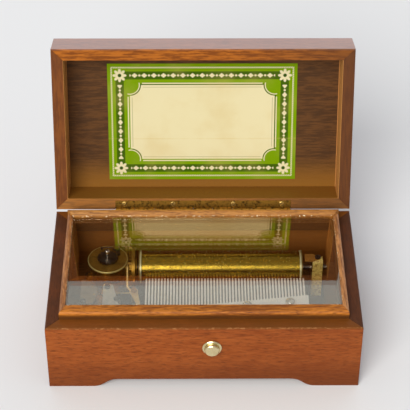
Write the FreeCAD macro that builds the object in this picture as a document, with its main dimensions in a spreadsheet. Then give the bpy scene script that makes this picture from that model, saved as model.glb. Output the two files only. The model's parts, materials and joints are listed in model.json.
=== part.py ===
import FreeCAD, Part
import math
import os
import re

import Sketcher

# Spring-wound cylinder music box in a wooden case with a glass inner lid, its lid open. Millimetres.
# +X runs along the cylinder, +Y to the hinges, +Z up. The origin is under the middle of the case.

SIZES = [
    ("case_wall", 7.5, "thickness of the case walls"),
    ("edge_round", 1.0, "rounding of the outer edges of case and lid"),
    ("foot_length", 25.0, "length of each foot from the case corner"),
    ("arch_run", 14.5, "length of the curved end of an arch"),
    ("arch_height", 5.7, "height of the arches between the feet"),
    ("floor_thickness", 3.0, "floor panel"),
    ("floor_groove", 2.0, "depth of the groove that holds the floor panel"),
    ("side_room", 9.25, "from the bedplate to the side walls"),
    ("front_room", 9.0, "from the bedplate to the front wall"),
    ("back_room", 11.0, "from the bedplate to the back wall"),
    ("movement_shift", 0.25, "middle of the bedplate, right of the case's middle"),
    ("frame_rise", 5.3, "glass frame above the wall tops"),
    ("frame_depth", 5.4, "glass frame below the wall tops"),
    ("frame_front_width", 6.3, "front member up to the glass"),
    ("frame_back_width", 3.3, "back member up to the glass"),
    ("frame_side_width", 3.5, "side members up to the glass"),
    ("frame_round", 2.0, "rounded shoulder of the glass frame"),
    ("glass_ledge", 1.0, "ledge under the glass"),
    ("glass_thickness", 2.1, "glass pane"),
    ("glass_sink", 0.4, "glass below the top of its frame"),
    ("glass_room", 0.6, "from the winding arbor's top to the glass"),
    ("lid_height", 23.0, "outer height of the lid"),
    ("lid_clearance", 0.4, "between the lid's walls and the glass frame"),
    ("lid_panel_thickness", 4.3, "panel let in between the lid's walls"),
    ("label_width", 114.0, "card inside the lid"),
    ("label_height", 74.2, "card inside the lid"),
    ("label_thickness", 0.2, "card inside the lid"),
    ("label_shift", -0.4, "middle of the card, right of the lid's middle"),
    ("label_drop", 12.85, "from the hinge axis to the card"),
    ("hinge_gap", 0.6, "between the case and the closed lid"),
    ("hinge_setback", 0.6, "hinge axis behind the case"),
    ("open_angle", 107.6, "angle of the open lid, in degrees"),
    ("leaf_length", 106.3, "hinge leaves"),
    ("leaf_reach", 6.15, "from the hinge axis to a leaf's edge"),
    ("leaf_thickness", 0.8, "hinge leaves"),
    ("leaf_spread", 0.05, "from the hinge's middle plane to each leaf"),
    ("heel_gap", 0.025, "between the stop heels and the back of the case"),
    ("knuckle_radius", 1.5, "hinge knuckles"),
    ("knuckle_count", 9, "knuckles of both leaves"),
    ("knuckle_gap", 0.15, "between neighbouring knuckles"),
    ("knuckle_clearance", 0.12, "round the knuckles"),
    ("pin_radius", 0.75, "hinge pin"),
    ("running_clearance", 0.05, "radial clearance of every turning or sliding fit"),
    ("button_shift", 4.45, "button right of the case's middle"),
    ("button_height", 31.0, "button's middle above the ground"),
    ("button_radius", 4.2, "button cap"),
    ("button_stand", 3.1, "button cap in front of the wall"),
    ("button_travel", 2.5, "push of the button"),
    ("button_dish", 0.6, "hollow in the button's face"),
    ("bush_radius", 5.0, "bush in the front wall"),
    ("bush_flange", 5.6, "flange radius of the bush"),
    ("bush_flange_thickness", 1.0, "flange of the bush"),
    ("bush_web", 1.0, "inner end of the bush"),
    ("stem_radius", 1.5, "button stem"),
    ("stem_gap", 0.15, "between the stem and the stop bar"),
    ("stem_collar", 2.4, "radius of the collar that keeps the button in"),
    ("stem_collar_thickness", 0.7, "collar that keeps the button in"),
    ("button_wire", 0.4, "wire diameter of the button's spring"),
    ("key_lift", 0.8, "key above the ground"),
    ("key_height", 6.7, "key bow and hub"),
    ("key_gap", 0.5, "between the key and the floor panel"),
    ("key_width", 24.0, "key bow"),
    ("key_thickness", 1.8, "key bow"),
    ("key_hub_radius", 3.2, "key hub"),
    ("bed_thickness", 3.1, "bedplate"),
    ("bed_round", 3.0, "corners of the bedplate"),
    ("bed_left_margin", 15.5, "bedplate left of the barrel's axis"),
    ("bed_right_margin", 2.0, "bedplate right of the pillar"),
    ("bed_front_margin", 2.0, "bedplate in front of the comb"),
    ("bed_back_margin", 19.2, "bedplate behind the cylinder's axis"),
    ("cylinder_radius", 8.8, "pinned cylinder without its pins"),
    ("cylinder_length", 96.5, "pinned cylinder with its caps"),
    ("cylinder_wall", 0.6, "wall of the cylinder's tube"),
    ("cap_thickness", 1.6, "caps of the cylinder"),
    ("cap_rim", 1.1, "caps beyond the cylinder's tube"),
    ("cylinder_shift", 1.2, "sideways travel between tunes"),
    ("pin_height", 1.05, "pins above the cylinder"),
    ("pin_width", 0.45, "thickness of a pin"),
    ("pin_rings", 24, "rings of pins along the cylinder"),
    ("pins_per_ring", 5, "pins in each ring"),
    ("comb_gap", 0.2, "between the prongs' tips and the pins"),
    ("comb_depth", 34.75, "comb from the tips to its front edge"),
    ("comb_teeth", 52, "prongs"),
    ("prong_width", 1.1, "one prong"),
    ("comb_thickness", 1.6, "comb"),
    ("comb_inset", 4.62, "first prong from the cylinder's left end"),
    ("comb_beyond", 0.38, "last prong beyond the cylinder's right end"),
    ("comb_overhang", 2.2, "comb plate beyond the last prong"),
    ("treble_length", 14.3, "free length of the shortest prong"),
    ("comb_taper", 0.132, "slope of the line where the prongs begin"),
    ("base_inset", 1.2, "comb base behind the prongs' roots"),
    ("comb_screw_count", 4, "comb screws"),
    ("comb_screw_margin", 9.7, "first comb screw from the comb's left end"),
    ("comb_screw_inset", 10.87, "last comb screw from the comb's right end"),
    ("comb_screw_line", 6.35, "last comb screw in front of the prongs' root"),
    ("comb_screw_slope", 0.11, "slope of the row of comb screws"),
    ("comb_screw_head", 2.9, "head radius of the comb screws"),
    ("comb_screw_dome", 2.3, "head height of the comb screws"),
    ("comb_screw_shank", 1.6, "shank radius of the comb screws"),
    ("lead_count", 10, "prongs with a tuning lead"),
    ("lead_height", 2.4, "tuning lead"),
    ("lead_length", 3.0, "tuning lead"),
    ("pillar_gap", 6.2, "from the cylinder to the right pillar"),
    ("pillar_thickness", 6.0, "right pillar along the cylinder"),
    ("pillar_width", 6.2, "right pillar across the cylinder"),
    ("pillar_rise", 6.7, "right pillar above the cylinder's axis"),
    ("pillar_round", 2.0, "rounded shoulders of the right pillar"),
    ("arbor_radius", 2.0, "cylinder arbor"),
    ("arbor_pivot_left", 1.0, "left pivot radius"),
    ("arbor_pivot_right", 1.5, "right pivot radius"),
    ("arbor_stub", 2.8, "arbor beyond the right pillar"),
    ("end_shake", 0.2, "end play of the arbors"),
    ("shift_wire", 0.45, "wire diameter of the shift spring"),
    ("shift_coil_radius", 3.2, "middle of the shift spring's wire"),
    ("shift_turns", 3, "turns of the shift spring"),
    ("shift_collar", 1.0, "collar that the shift spring rests on"),
    ("finger_thickness", 0.6, "change finger"),
    ("finger_width", 3.0, "change finger under its screw"),
    ("finger_reach", 4.7, "change finger left of the pillar"),
    ("finger_end_width", 6.4, "free end of the change finger"),
    ("stud_head", 1.75, "head radius of the click's and the lever's studs"),
    ("stud_head_height", 1.2, "head of the click's and the lever's studs"),
    ("click_stud", 0.8, "radius of the click's stud"),
    ("train_module", 0.6, "barrel, cylinder wheel and first pinion"),
    ("barrel_teeth", 44, "teeth of the barrel"),
    ("wheel_teeth", 36, "teeth of the cylinder wheel"),
    ("first_teeth", 10, "leaves of the first pinion"),
    ("governor_module", 0.5, "wheels of the governor"),
    ("first_wheel_teeth", 20, "teeth of the first wheel"),
    ("second_teeth", 8, "leaves of the second pinion"),
    ("worm_wheel_teeth", 20, "teeth of the second wheel"),
    ("first_bearing", 237.1, "direction from the barrel to the first arbor, in degrees"),
    ("second_bearing", 280.0, "direction from the first to the second arbor, in degrees"),
    ("wheel_thickness", 1.9, "disc of the cylinder wheel"),
    ("wheel_rim", 1.1, "cylinder wheel beyond the pitch circle of its crown teeth"),
    ("crown_depth", 1.75, "crown teeth of the cylinder wheel"),
    ("crown_root", 0.252, "half width of a crown tooth at its root"),
    ("crown_tip", 0.15, "half width of a crown tooth at its tip"),
    ("crown_offset", 1.15, "from the cylinder wheel's disc to the barrel's pitch circle"),
    ("wheel_gap", 2.05, "from the cylinder wheel to the cylinder"),
    ("cam_radius", 5.5, "tune cam"),
    ("cam_rise", 0.3, "each step of the tune cam"),
    ("cam_steps", 3, "steps of the tune cam"),
    ("follower_radius", 0.7, "pin on the left cap that rides on the tune cam"),
    ("flange_lift", 9.2, "barrel teeth above the bedplate"),
    ("flange_thickness", 1.8, "barrel teeth"),
    ("barrel_tooth_root", 0.54, "half width of a barrel tooth at its root"),
    ("barrel_tooth_tip", 0.24, "half width of a barrel tooth at its tip"),
    ("drum_radius", 9.6, "spring barrel"),
    ("drum_height", 16.3, "spring barrel"),
    ("drum_wall", 0.9, "spring barrel"),
    ("mainspring_thickness", 0.45, "mainspring strip"),
    ("mainspring_turns", 3, "turns of the mainspring"),
    ("winding_radius", 1.45, "winding arbor"),
    ("bridge_gap", 0.7, "from the barrel to its bridge"),
    ("bridge_thickness", 1.2, "barrel bridge"),
    ("bridge_radius", 11.85, "barrel bridge"),
    ("ratchet_gap", 0.2, "from the bridge to the ratchet wheel"),
    ("ratchet_thickness", 1.3, "ratchet wheel"),
    ("ratchet_radius", 6.1, "ratchet wheel"),
    ("ratchet_depth", 0.8, "ratchet teeth"),
    ("ratchet_teeth", 16, "ratchet teeth"),
    ("ratchet_slope", 0.86, "share of a ratchet tooth that its slanted back takes"),
    ("stud_rise", 5.6, "winding arbor above the ratchet wheel"),
    ("click_distance", 9.6, "click's pivot from the barrel's axis"),
    ("click_bearing", 60.0, "direction from the barrel to the click's pivot, in degrees"),
    ("click_gap", 0.06, "between the click and the ratchet's tips"),
    ("click_boss", 2.1, "radius of the click round its stud"),
    ("click_lead", 36.0, "from the click's pivot to its nose, round the ratchet, in degrees"),
    ("click_wire", 0.25, "radius of the click spring's wire"),
    ("arm_thickness", 1.8, "arm of the left bracket"),
    ("arm_height", 6.6, "arm of the left bracket"),
    ("arm_gap", 0.7, "from the crown teeth to the arm"),
    ("boss_radius", 3.3, "bearing boss of the left bracket"),
    ("column_gap", 12.2, "from the cylinder's axis to the bracket's column"),
    ("column_depth", 6.0, "column of the left bracket"),
    ("column_width", 4.4, "column of the left bracket"),
    ("governor_arbor", 0.8, "arbors of the governor"),
    ("governor_pivot", 0.5, "pivots of the governor"),
    ("governor_base", 1.5, "base of the governor frame"),
    ("first_wheel_lift", 4.4, "first wheel above the bedplate"),
    ("first_wheel_thickness", 1.0, "first wheel"),
    ("worm_lift", 13.1, "endless screw above the bedplate"),
    ("worm_wheel_thickness", 1.2, "second wheel"),
    ("worm_pitch_radius", 1.2, "endless screw"),
    ("worm_core", 0.65, "endless screw"),
    ("thread_rise", 0.4, "thread beyond the pitch radius"),
    ("thread_root", 0.455, "half width of the thread at its root"),
    ("thread_tip", 0.19, "half width of the thread at its tip"),
    ("worm_turns", 3.5, "turns of the endless screw"),
    ("fan_radius", 4.5, "fan"),
    ("fan_length", 5.2, "fan"),
    ("fan_thickness", 0.4, "fan"),
    ("fan_offset", 6.2, "fan right of the second arbor"),
    ("post_width", 2.0, "posts of the governor frame"),
    ("post_depth", 3.0, "posts of the governor frame"),
    ("left_post_offset", 6.1, "left post from the second arbor"),
    ("right_post_offset", 13.5, "right post from the second arbor"),
    ("cock_pillar_radius", 1.7, "round pillar under the governor cock"),
    ("cock_pillar_right", 7.7, "round pillar right of the second arbor"),
    ("cock_pillar_back", 4.2, "round pillar behind the second arbor"),
    ("train_post_radius", 1.2, "round post under the train bridge"),
    ("train_post_left", 5.5, "round post left of the first arbor"),
    ("train_post_back", 4.4, "round post behind the first arbor"),
    ("train_plate_lift", 17.3, "train bridge above the bedplate"),
    ("train_plate", 1.0, "train bridge"),
    ("train_plate_edge", 1.7, "train bridge round its posts"),
    ("cock_lift", 18.8, "governor cock above the bedplate"),
    ("cock_plate", 1.2, "governor cock"),
    ("cock_edge", 2.4, "governor cock round its pillar"),
    ("cock_tail", 3.2, "governor cock right of its pillar"),
    ("cock_front", 6.0, "governor cock in front of the endless screw"),
    ("lever_right", 15.5, "stop lever's pivot right of the barrel's axis"),
    ("lever_front", 15.8, "stop lever's pivot in front of the barrel's axis"),
    ("lever_lift", 15.4, "stop lever above the bedplate"),
    ("lever_thickness", 1.0, "stop lever"),
    ("lever_width", 2.4, "stop lever's tail"),
    ("lever_eye", 2.6, "eye of the stop lever"),
    ("lever_pivot", 1.2, "pivot radius of the stop lever"),
    ("lever_post_radius", 1.7, "post under the stop lever"),
    ("lever_tail", 3.9, "tail right of the stop lever's pivot"),
    ("stop_bar_gap", 1.3, "from the front wall to the stop bar"),
    ("stop_bar_width", 1.5, "stop bar"),
    ("stop_wire", 0.65, "radius of the stop finger"),
    ("finger_offset", 0.95, "stop finger left of the crown teeth"),
    ("finger_rise", 4.1, "stop finger's end above the cylinder's axis"),
    ("fan_wire", 0.3, "radius of the wire that reaches for the fan"),
]

PLACES = [
    ("barrel_pitch", "train_module * barrel_teeth / 2"),
    ("crown_pitch", "train_module * wheel_teeth / 2"),
    ("wheel_radius", "crown_pitch + wheel_rim"),
    ("bed_length", "bed_left_margin + barrel_pitch + crown_offset + wheel_thickness + wheel_gap"
                   " + cylinder_length + pillar_gap + pillar_thickness + bed_right_margin"),
    ("bed_left", "movement_shift - bed_length / 2"),
    ("bed_right", "movement_shift + bed_length / 2"),
    ("barrel_x", "bed_left + bed_left_margin"),
    ("mesh_x", "barrel_x + barrel_pitch"),
    ("wheel_left", "mesh_x + crown_offset"),
    ("wheel_right", "wheel_left + wheel_thickness"),
    ("cylinder_left", "wheel_right + wheel_gap"),
    ("cylinder_right", "cylinder_left + cylinder_length"),
    ("pillar_left", "cylinder_right + pillar_gap"),
    ("pillar_right", "pillar_left + pillar_thickness"),
    ("inner_depth", "front_room + bed_front_margin + comb_depth + comb_gap + pin_height"
                    " + cylinder_radius + bed_back_margin + back_room"),
    ("inner_x", "bed_length / 2 + side_room"),
    ("inner_y", "inner_depth / 2"),
    ("case_x", "inner_x + case_wall"),
    ("case_y", "inner_y + case_wall"),
    ("bed_front", "-inner_y + front_room"),
    ("comb_front", "bed_front + bed_front_margin"),
    ("comb_tip", "comb_front + comb_depth"),
    ("cylinder_y", "comb_tip + comb_gap + pin_height + cylinder_radius"),
    ("bed_back", "cylinder_y + bed_back_margin"),
    ("floor_bottom", "key_lift + key_height + key_gap"),
    ("floor_top", "floor_bottom + floor_thickness"),
    ("bed_top", "floor_top + bed_thickness"),
    ("flange_bottom", "bed_top + flange_lift"),
    ("cylinder_z", "flange_bottom + flange_thickness / 2 + crown_pitch"),
    ("drum_top", "flange_bottom + drum_height"),
    ("bridge_bottom", "drum_top + bridge_gap"),
    ("bridge_top", "bridge_bottom + bridge_thickness"),
    ("ratchet_bottom", "bridge_top + ratchet_gap"),
    ("ratchet_top", "ratchet_bottom + ratchet_thickness"),
    ("stud_top", "ratchet_top + stud_rise"),
    ("glass_bottom", "stud_top + glass_room"),
    ("glass_top", "glass_bottom + glass_thickness"),
    ("frame_top", "glass_top + glass_sink"),
    ("case_top", "frame_top - frame_rise"),
    ("frame_bottom", "case_top - frame_depth"),
    ("glass_front", "-inner_y + frame_front_width"),
    ("glass_back", "inner_y - frame_back_width"),
    ("glass_side", "inner_x - frame_side_width"),
    ("hinge_y", "case_y + hinge_setback"),
    ("hinge_z", "case_top + hinge_gap / 2"),
    ("lid_wall", "case_wall - lid_clearance"),
    ("lid_front_y", "-2 * case_y - hinge_setback"),
    ("lid_rim", "hinge_gap / 2"),
    ("lid_top", "hinge_gap / 2 + lid_height"),
    ("leaf_outer", "leaf_spread + leaf_thickness"),
    ("groove_radius", "knuckle_radius + knuckle_clearance"),
    ("heel_length", "(hinge_setback - heel_gap + leaf_spread * sin(open_angle)) / abs(cos(open_angle))"),
    ("knuckle_pitch", "(leaf_length + knuckle_gap) / knuckle_count"),
    ("knuckle_length", "knuckle_pitch - knuckle_gap"),
    ("arch_radius", "(arch_run ^ 2 + arch_height ^ 2) / (4 * arch_height)"),
    ("comb_left", "cylinder_left + comb_inset"),
    ("comb_last", "cylinder_right + comb_beyond"),
    ("comb_pitch", "(comb_last - comb_left) / (comb_teeth - 1)"),
    ("comb_right", "comb_last + comb_overhang"),
    ("root_y", "comb_tip - treble_length"),
    ("comb_bottom", "cylinder_z - comb_thickness"),
    ("comb_end", "comb_left - prong_width"),
    ("root_end_y", "root_y - comb_taper * (comb_right - comb_end)"),
    ("comb_screw_x", "comb_right - comb_screw_inset"),
    ("comb_screw_pitch", "(comb_screw_x - comb_end - comb_screw_margin) / (comb_screw_count - 1)"),
    ("comb_screw_y", "root_y - comb_screw_line"),
    ("pillar_top", "cylinder_z + pillar_rise"),
    ("wheel_tip", "wheel_left - crown_depth"),
    ("arm_right", "wheel_tip - arm_gap"),
    ("arm_left", "arm_right - arm_thickness"),
    ("column_y", "cylinder_y + column_gap"),
    ("boss_end", "wheel_left - end_shake"),
    ("first_pitch", "train_module * first_teeth / 2"),
    ("first_wheel_pitch", "governor_module * first_wheel_teeth / 2"),
    ("second_pitch", "governor_module * second_teeth / 2"),
    ("worm_wheel_pitch", "governor_module * worm_wheel_teeth / 2"),
    ("first_x", "barrel_x + (barrel_pitch + first_pitch) * cos(first_bearing)"),
    ("first_y", "cylinder_y + (barrel_pitch + first_pitch) * sin(first_bearing)"),
    ("second_x", "first_x + (first_wheel_pitch + second_pitch) * cos(second_bearing)"),
    ("second_y", "first_y + (first_wheel_pitch + second_pitch) * sin(second_bearing)"),
    ("worm_y", "second_y - worm_wheel_pitch - worm_pitch_radius"),
    ("worm_z", "bed_top + worm_lift"),
    ("first_wheel_z", "bed_top + first_wheel_lift"),
    ("train_plate_z", "bed_top + train_plate_lift"),
    ("cock_z", "bed_top + cock_lift"),
    ("left_post_x", "second_x - left_post_offset"),
    ("right_post_x", "second_x + right_post_offset"),
    ("cock_pillar_x", "second_x + cock_pillar_right"),
    ("cock_pillar_y", "second_y + cock_pillar_back"),
    ("train_post_x", "first_x - train_post_left"),
    ("train_post_y", "first_y + train_post_back"),
    ("base_top", "bed_top + governor_base"),
    ("lever_x", "barrel_x + lever_right"),
    ("lever_y", "cylinder_y - lever_front"),
    ("lever_z", "bed_top + lever_lift"),
    ("stop_bar_y", "-inner_y + stop_bar_gap"),
]

doc = FreeCAD.newDocument("MusicBox")
sheet = doc.addObject("Spreadsheet::Sheet", "Sizes")
places = doc.addObject("App::VarSet", "Places")
owner_of = {}
sub_parts = []

WIRE_SIDES = 6
DEDENDUM = 1.25
X_AXIS = FreeCAD.Vector(1, 0, 0)
Y_AXIS = FreeCAD.Vector(0, 1, 0)
Z_AXIS = FreeCAD.Vector(0, 0, 1)


def linked(expression):
    """Write an expression of size names so that it reads the sheet or the worked out places."""
    def owner(match):
        word = match.group(0)
        return owner_of[word] + "." + word if word in owner_of else word
    return re.sub(r"[a-z_][a-z_0-9]*", owner, expression)


def value(expression):
    return float(sheet.evalExpression(linked(expression)))


def point(x, y, z="0"):
    return FreeCAD.Vector(value(x), value(y), value(z))


def fill_sheet():
    for row, (name, number, note) in enumerate(SIZES, start=1):
        sheet.set("A%d" % row, name)
        sheet.set("B%d" % row, str(number))
        sheet.set("C%d" % row, note)
        sheet.setAlias("B%d" % row, name)
        owner_of[name] = "Sizes"
    for name, formula in PLACES:
        places.addProperty("App::PropertyFloat", name)
        owner_of[name] = "Places"
        places.setExpression(name, linked(formula))
    doc.recompute()


def bind(item, **sizes):
    for name, expression in sizes.items():
        item.setExpression(name, linked(expression))


def new_body(label):
    body = doc.addObject("PartDesign::Body", label + "_body")
    body.Label = label
    sub_parts.append(body)
    return body


def new_shape(label, shape, placement=FreeCAD.Placement()):
    """Hold a shape that no sketch or primitive makes, and place it."""
    feature = doc.addObject("Part::Feature", label + "_shape")
    feature.Label = label
    feature.Shape = shape
    feature.Placement = placement.multiply(feature.Placement)
    sub_parts.append(feature)
    return feature


def new_sketch(body, plane, lift="0"):
    sketch = body.newObject("Sketcher::SketchObject", "sketch")
    origin = next(item for item in body.Origin.OriginFeatures if item.Role == plane)
    sketch.AttachmentSupport = (origin, [""])
    sketch.MapMode = "FlatFace"
    sketch.setExpression("AttachmentOffset.Base.z", linked(lift))
    return sketch


def tie_point(sketch, edge, end, x, y):
    """Fix one point of a sketch by its distances from the origin."""
    for kind, expression in (("DistanceX", x), ("DistanceY", y)):
        rule = sketch.addConstraint(Sketcher.Constraint(kind, -1, 1, edge, end, value(expression)))
        sketch.setExpression("Constraints[%d]" % rule, linked(expression))


def arc_edge(start, end, radius):
    """The shorter arc between two points, turning left for a positive radius."""
    chord = end - start
    left = FreeCAD.Vector(-chord.y, chord.x, 0).normalize()
    height = math.sqrt(max(radius ** 2 - chord.Length ** 2 / 4, 0))
    centre = (start + end) * 0.5 + left * math.copysign(height, radius)
    first = math.atan2(start.y - centre.y, start.x - centre.x)
    last = math.atan2(end.y - centre.y, end.x - centre.x)
    if radius < 0:
        first, last = last, first
    return Part.ArcOfCircle(Part.Circle(centre, Z_AXIS, abs(radius)), first, last)


def outline(body, plane, corners, lift="0"):
    """A closed outline. A corner's third entry is the radius of the arc that leaves it."""
    sketch = new_sketch(body, plane, lift)
    spots = [point(corner[0], corner[1]) for corner in corners]
    ends = []
    for index, corner in enumerate(corners):
        here, following = spots[index], spots[(index + 1) % len(spots)]
        if len(corner) == 2:
            sketch.addGeometry(Part.LineSegment(here, following), False)
            ends.append((1, 2))
            continue
        radius = value(corner[2])
        sketch.addGeometry(arc_edge(here, following, radius), False)
        ends.append((1, 2) if radius > 0 else (2, 1))
        rule = sketch.addConstraint(Sketcher.Constraint("Radius", index, abs(radius)))
        sketch.setExpression("Constraints[%d]" % rule, linked("abs(%s)" % corner[2]))
    for index, corner in enumerate(corners):
        following = (index + 1) % len(corners)
        joint = Sketcher.Constraint("Coincident", index, ends[index][1], following, ends[following][0])
        sketch.addConstraint(joint)
        tie_point(sketch, index, ends[index][0], corner[0], corner[1])
    return sketch


def rectangle(body, plane, left, right, low, high, lift="0"):
    corners = [(left, low), (right, low), (right, high), (left, high)]
    return outline(body, plane, corners, lift)


def circles(body, plane, spots, lift="0"):
    """Circles, each given by its middle and radius."""
    sketch = new_sketch(body, plane, lift)
    for index, (x, y, radius) in enumerate(spots):
        sketch.addGeometry(Part.Circle(point(x, y), Z_AXIS, value(radius)), False)
        rule = sketch.addConstraint(Sketcher.Constraint("Radius", index, value(radius)))
        sketch.setExpression("Constraints[%d]" % rule, linked(radius))
        tie_point(sketch, index, 3, x, y)
    return sketch


def pad(body, sketch, length, symmetric=False):
    feature = body.newObject("PartDesign::Pad", "pad")
    feature.Profile = sketch
    bind(feature, Length=length)
    feature.SideType = "Symmetric" if symmetric else "One side"
    sketch.Visibility = False
    return feature


def pocket(body, sketch, depth=None, symmetric=False, reverse=False):
    """Cut a sketch out of a body, through everything when no depth is given."""
    feature = body.newObject("PartDesign::Pocket", "pocket")
    feature.Profile = sketch
    feature.SideType = "Symmetric" if symmetric or depth is None else "One side"
    feature.Reversed = reverse
    if depth is None:
        feature.Type = "ThroughAll"
    else:
        bind(feature, Length=depth)
    sketch.Visibility = False
    return feature


def turned(body, corners):
    """Turn a half profile of radius and height about the body's Z axis."""
    sketch = outline(body, "XZ_Plane", corners)
    feature = body.newObject("PartDesign::Revolution", "turning")
    feature.Profile = sketch
    feature.ReferenceAxis = (sketch, ["V_Axis"])
    feature.Angle = 360
    sketch.Visibility = False
    return feature


def repeat_round(body, features, count):
    pattern = body.newObject("PartDesign::PolarPattern", "pattern")
    pattern.Originals = features
    axis = next(item for item in body.Origin.OriginFeatures if item.Role == "Z_Axis")
    pattern.Axis = (axis, [""])
    pattern.Angle = 360
    bind(pattern, Occurrences=count)
    body.Tip = pattern
    return pattern


def repeat_along_x(body, features, span, count):
    pattern = body.newObject("PartDesign::LinearPattern", "pattern")
    pattern.Originals = features
    axis = next(item for item in body.Origin.OriginFeatures if item.Role == "X_Axis")
    pattern.Direction = (axis, [""])
    bind(pattern, Length=span, Occurrences=count)
    body.Tip = pattern
    return pattern


def round_edges(body, radius, chosen):
    """Round the edges of a body's last feature that a test of the edge's middle picks."""
    doc.recompute()
    base = body.Tip
    names = ["Edge%d" % (index + 1) for index, edge in enumerate(base.Shape.Edges)
             if chosen(edge.CenterOfMass)]
    feature = body.newObject("PartDesign::Fillet", "rounding")
    feature.Base = (base, names)
    bind(feature, Radius=radius)
    return feature


def near(first, second):
    return abs(first - second) < 1e-4


def place(item, x="0", y="0", z="0", axis=Z_AXIS, angle=0.0):
    item.Placement = FreeCAD.Placement(point(x, y, z), FreeCAD.Rotation(axis, angle))


def place_in_lid(item, local=FreeCAD.Placement()):
    """Carry a piece drawn with the lid closed about the hinge axis to the open lid."""
    opened = FreeCAD.Placement(point("0", "hinge_y", "hinge_z"),
                               FreeCAD.Rotation(X_AXIS, -value("open_angle")))
    item.Placement = opened.multiply(local)


# Walls of the case and the lid

WALLS_ROUND = ("front", "right", "back", "left")


def walls_in_turn():
    """Each wall's name, and how far round the box it is turned from the front one."""
    return [(side, 360 / len(WALLS_ROUND) * count) for count, side in enumerate(WALLS_ROUND)]


def mitred_wall(label, half_length, thickness, height):
    """A wall along X with its outer face at y = 0 and mitred ends."""
    body = new_body(label)
    inner = "(%s - %s)" % (half_length, thickness)
    plan = [("-" + half_length, "0"), (half_length, "0"), (inner, thickness), ("-" + inner, thickness)]
    pad(body, outline(body, "XY_Plane", plan), height)
    return body


def cut_arch(body, half_length):
    """Cut the arch between two feet, with an S curve at each end."""
    foot = "(%s - foot_length)" % half_length
    arch = [
        ("-" + foot, "0", "arch_radius"),
        ("-%s + arch_run / 2" % foot, "arch_height / 2", "-arch_radius"),
        ("-%s + arch_run" % foot, "arch_height"),
        ("%s - arch_run" % foot, "arch_height", "-arch_radius"),
        ("%s - arch_run / 2" % foot, "arch_height / 2", "arch_radius"),
        (foot, "0"),
        (foot, "-floor_groove"),
        ("-" + foot, "-floor_groove"),
    ]
    pocket(body, outline(body, "XZ_Plane", arch))


def cut_hinge_seat(body, leaf_face, axis_height, outside):
    """Let the hinge leaf and its knuckles into a wall whose outer face lies at y = 0."""
    spots = [("-hinge_setback", axis_height, "groove_radius")]
    pocket(body, circles(body, "YZ_Plane", spots), "leaf_length + 4 * knuckle_gap", symmetric=True)
    seat = rectangle(body, "YZ_Plane", "-hinge_setback", "leaf_reach - hinge_setback", leaf_face, outside)
    pocket(body, seat, "leaf_length", symmetric=True)


def make_case_walls():
    for side, angle in walls_in_turn():
        along_x = side in ("front", "back")
        half = "case_x" if along_x else "case_y"
        body = mitred_wall("case_" + side, half, "case_wall", "case_top")
        cut_arch(body, half)
        groove = rectangle(body, "YZ_Plane", "case_wall - floor_groove", "case_wall + floor_groove",
                           "floor_bottom", "floor_top")
        pocket(body, groove)
        if side == "front":
            pocket(body, circles(body, "XZ_Plane", [("button_shift", "button_height", "bush_radius")]))
        if side == "back":
            leaf_face = "case_top + hinge_gap / 2 - leaf_outer"
            cut_hinge_seat(body, leaf_face, "case_top + hinge_gap / 2", "case_top + hinge_gap")
        else:
            top = value("case_top")
            round_edges(body, "edge_round", lambda middle: near(middle.y, 0) and near(middle.z, top))
        spot = {"front": ("0", "-case_y"), "back": ("0", "case_y"),
                "left": ("-case_x", "0"), "right": ("case_x", "0")}[side]
        place(body, spot[0], spot[1], "0", Z_AXIS, angle)


def make_lid_walls():
    lid_middle = "-case_y - hinge_setback"
    for side, angle in walls_in_turn():
        half = "case_x" if side in ("front", "back") else "case_y"
        body = mitred_wall("lid_" + side, half, "lid_wall", "lid_height")
        if side == "back":
            cut_hinge_seat(body, "leaf_outer - lid_rim", "-lid_rim", "-lid_rim")
        top = value("lid_height")
        round_edges(body, "edge_round", lambda middle: near(middle.y, 0) and near(middle.z, top))
        spot = {"front": point("0", "lid_front_y", "lid_rim"),
                "back": point("0", "-hinge_setback", "lid_rim"),
                "left": point("-case_x", lid_middle, "lid_rim"),
                "right": point("case_x", lid_middle, "lid_rim")}[side]
        place_in_lid(body, FreeCAD.Placement(spot, FreeCAD.Rotation(Z_AXIS, angle)))


def make_lid_panel():
    body = new_body("lid_panel")
    sketch = rectangle(body, "XY_Plane", "-case_x + lid_wall", "case_x - lid_wall",
                       "lid_front_y + lid_wall", "-hinge_setback - lid_wall",
                       "lid_top - lid_panel_thickness")
    pad(body, sketch, "lid_panel_thickness")
    place_in_lid(body)


def make_label():
    body = new_body("label")
    sketch = rectangle(body, "XY_Plane", "label_shift - label_width / 2", "label_shift + label_width / 2",
                       "-label_drop - label_height", "-label_drop",
                       "lid_top - lid_panel_thickness - label_thickness")
    pad(body, sketch, "label_thickness")
    place_in_lid(body)


# Floor, glass and its frame

def make_floor():
    body = new_body("floor_panel")
    half_x = "inner_x + floor_groove"
    half_y = "inner_y + floor_groove"
    sketch = rectangle(body, "XY_Plane", "-(%s)" % half_x, half_x, "-(%s)" % half_y, half_y, "floor_bottom")
    pad(body, sketch, "floor_thickness")
    pocket(body, circles(body, "XY_Plane", [("barrel_x", "cylinder_y", "2 * winding_radius")]))


def make_frame_member(label, corners, outer_edge):
    """One mitred member of the glass frame, with the ledge that the glass lies on."""
    body = new_body(label)
    pad(body, outline(body, "XY_Plane", corners, "frame_bottom"), "frame_top - frame_bottom")
    opening = rectangle(body, "XY_Plane", "-glass_side", "glass_side", "glass_front", "glass_back",
                        "glass_bottom")
    pocket(body, opening, "frame_top - glass_bottom + glass_sink", reverse=True)
    top = value("frame_top")
    round_edges(body, "frame_round", lambda middle: near(middle.z, top) and outer_edge(middle))


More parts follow.
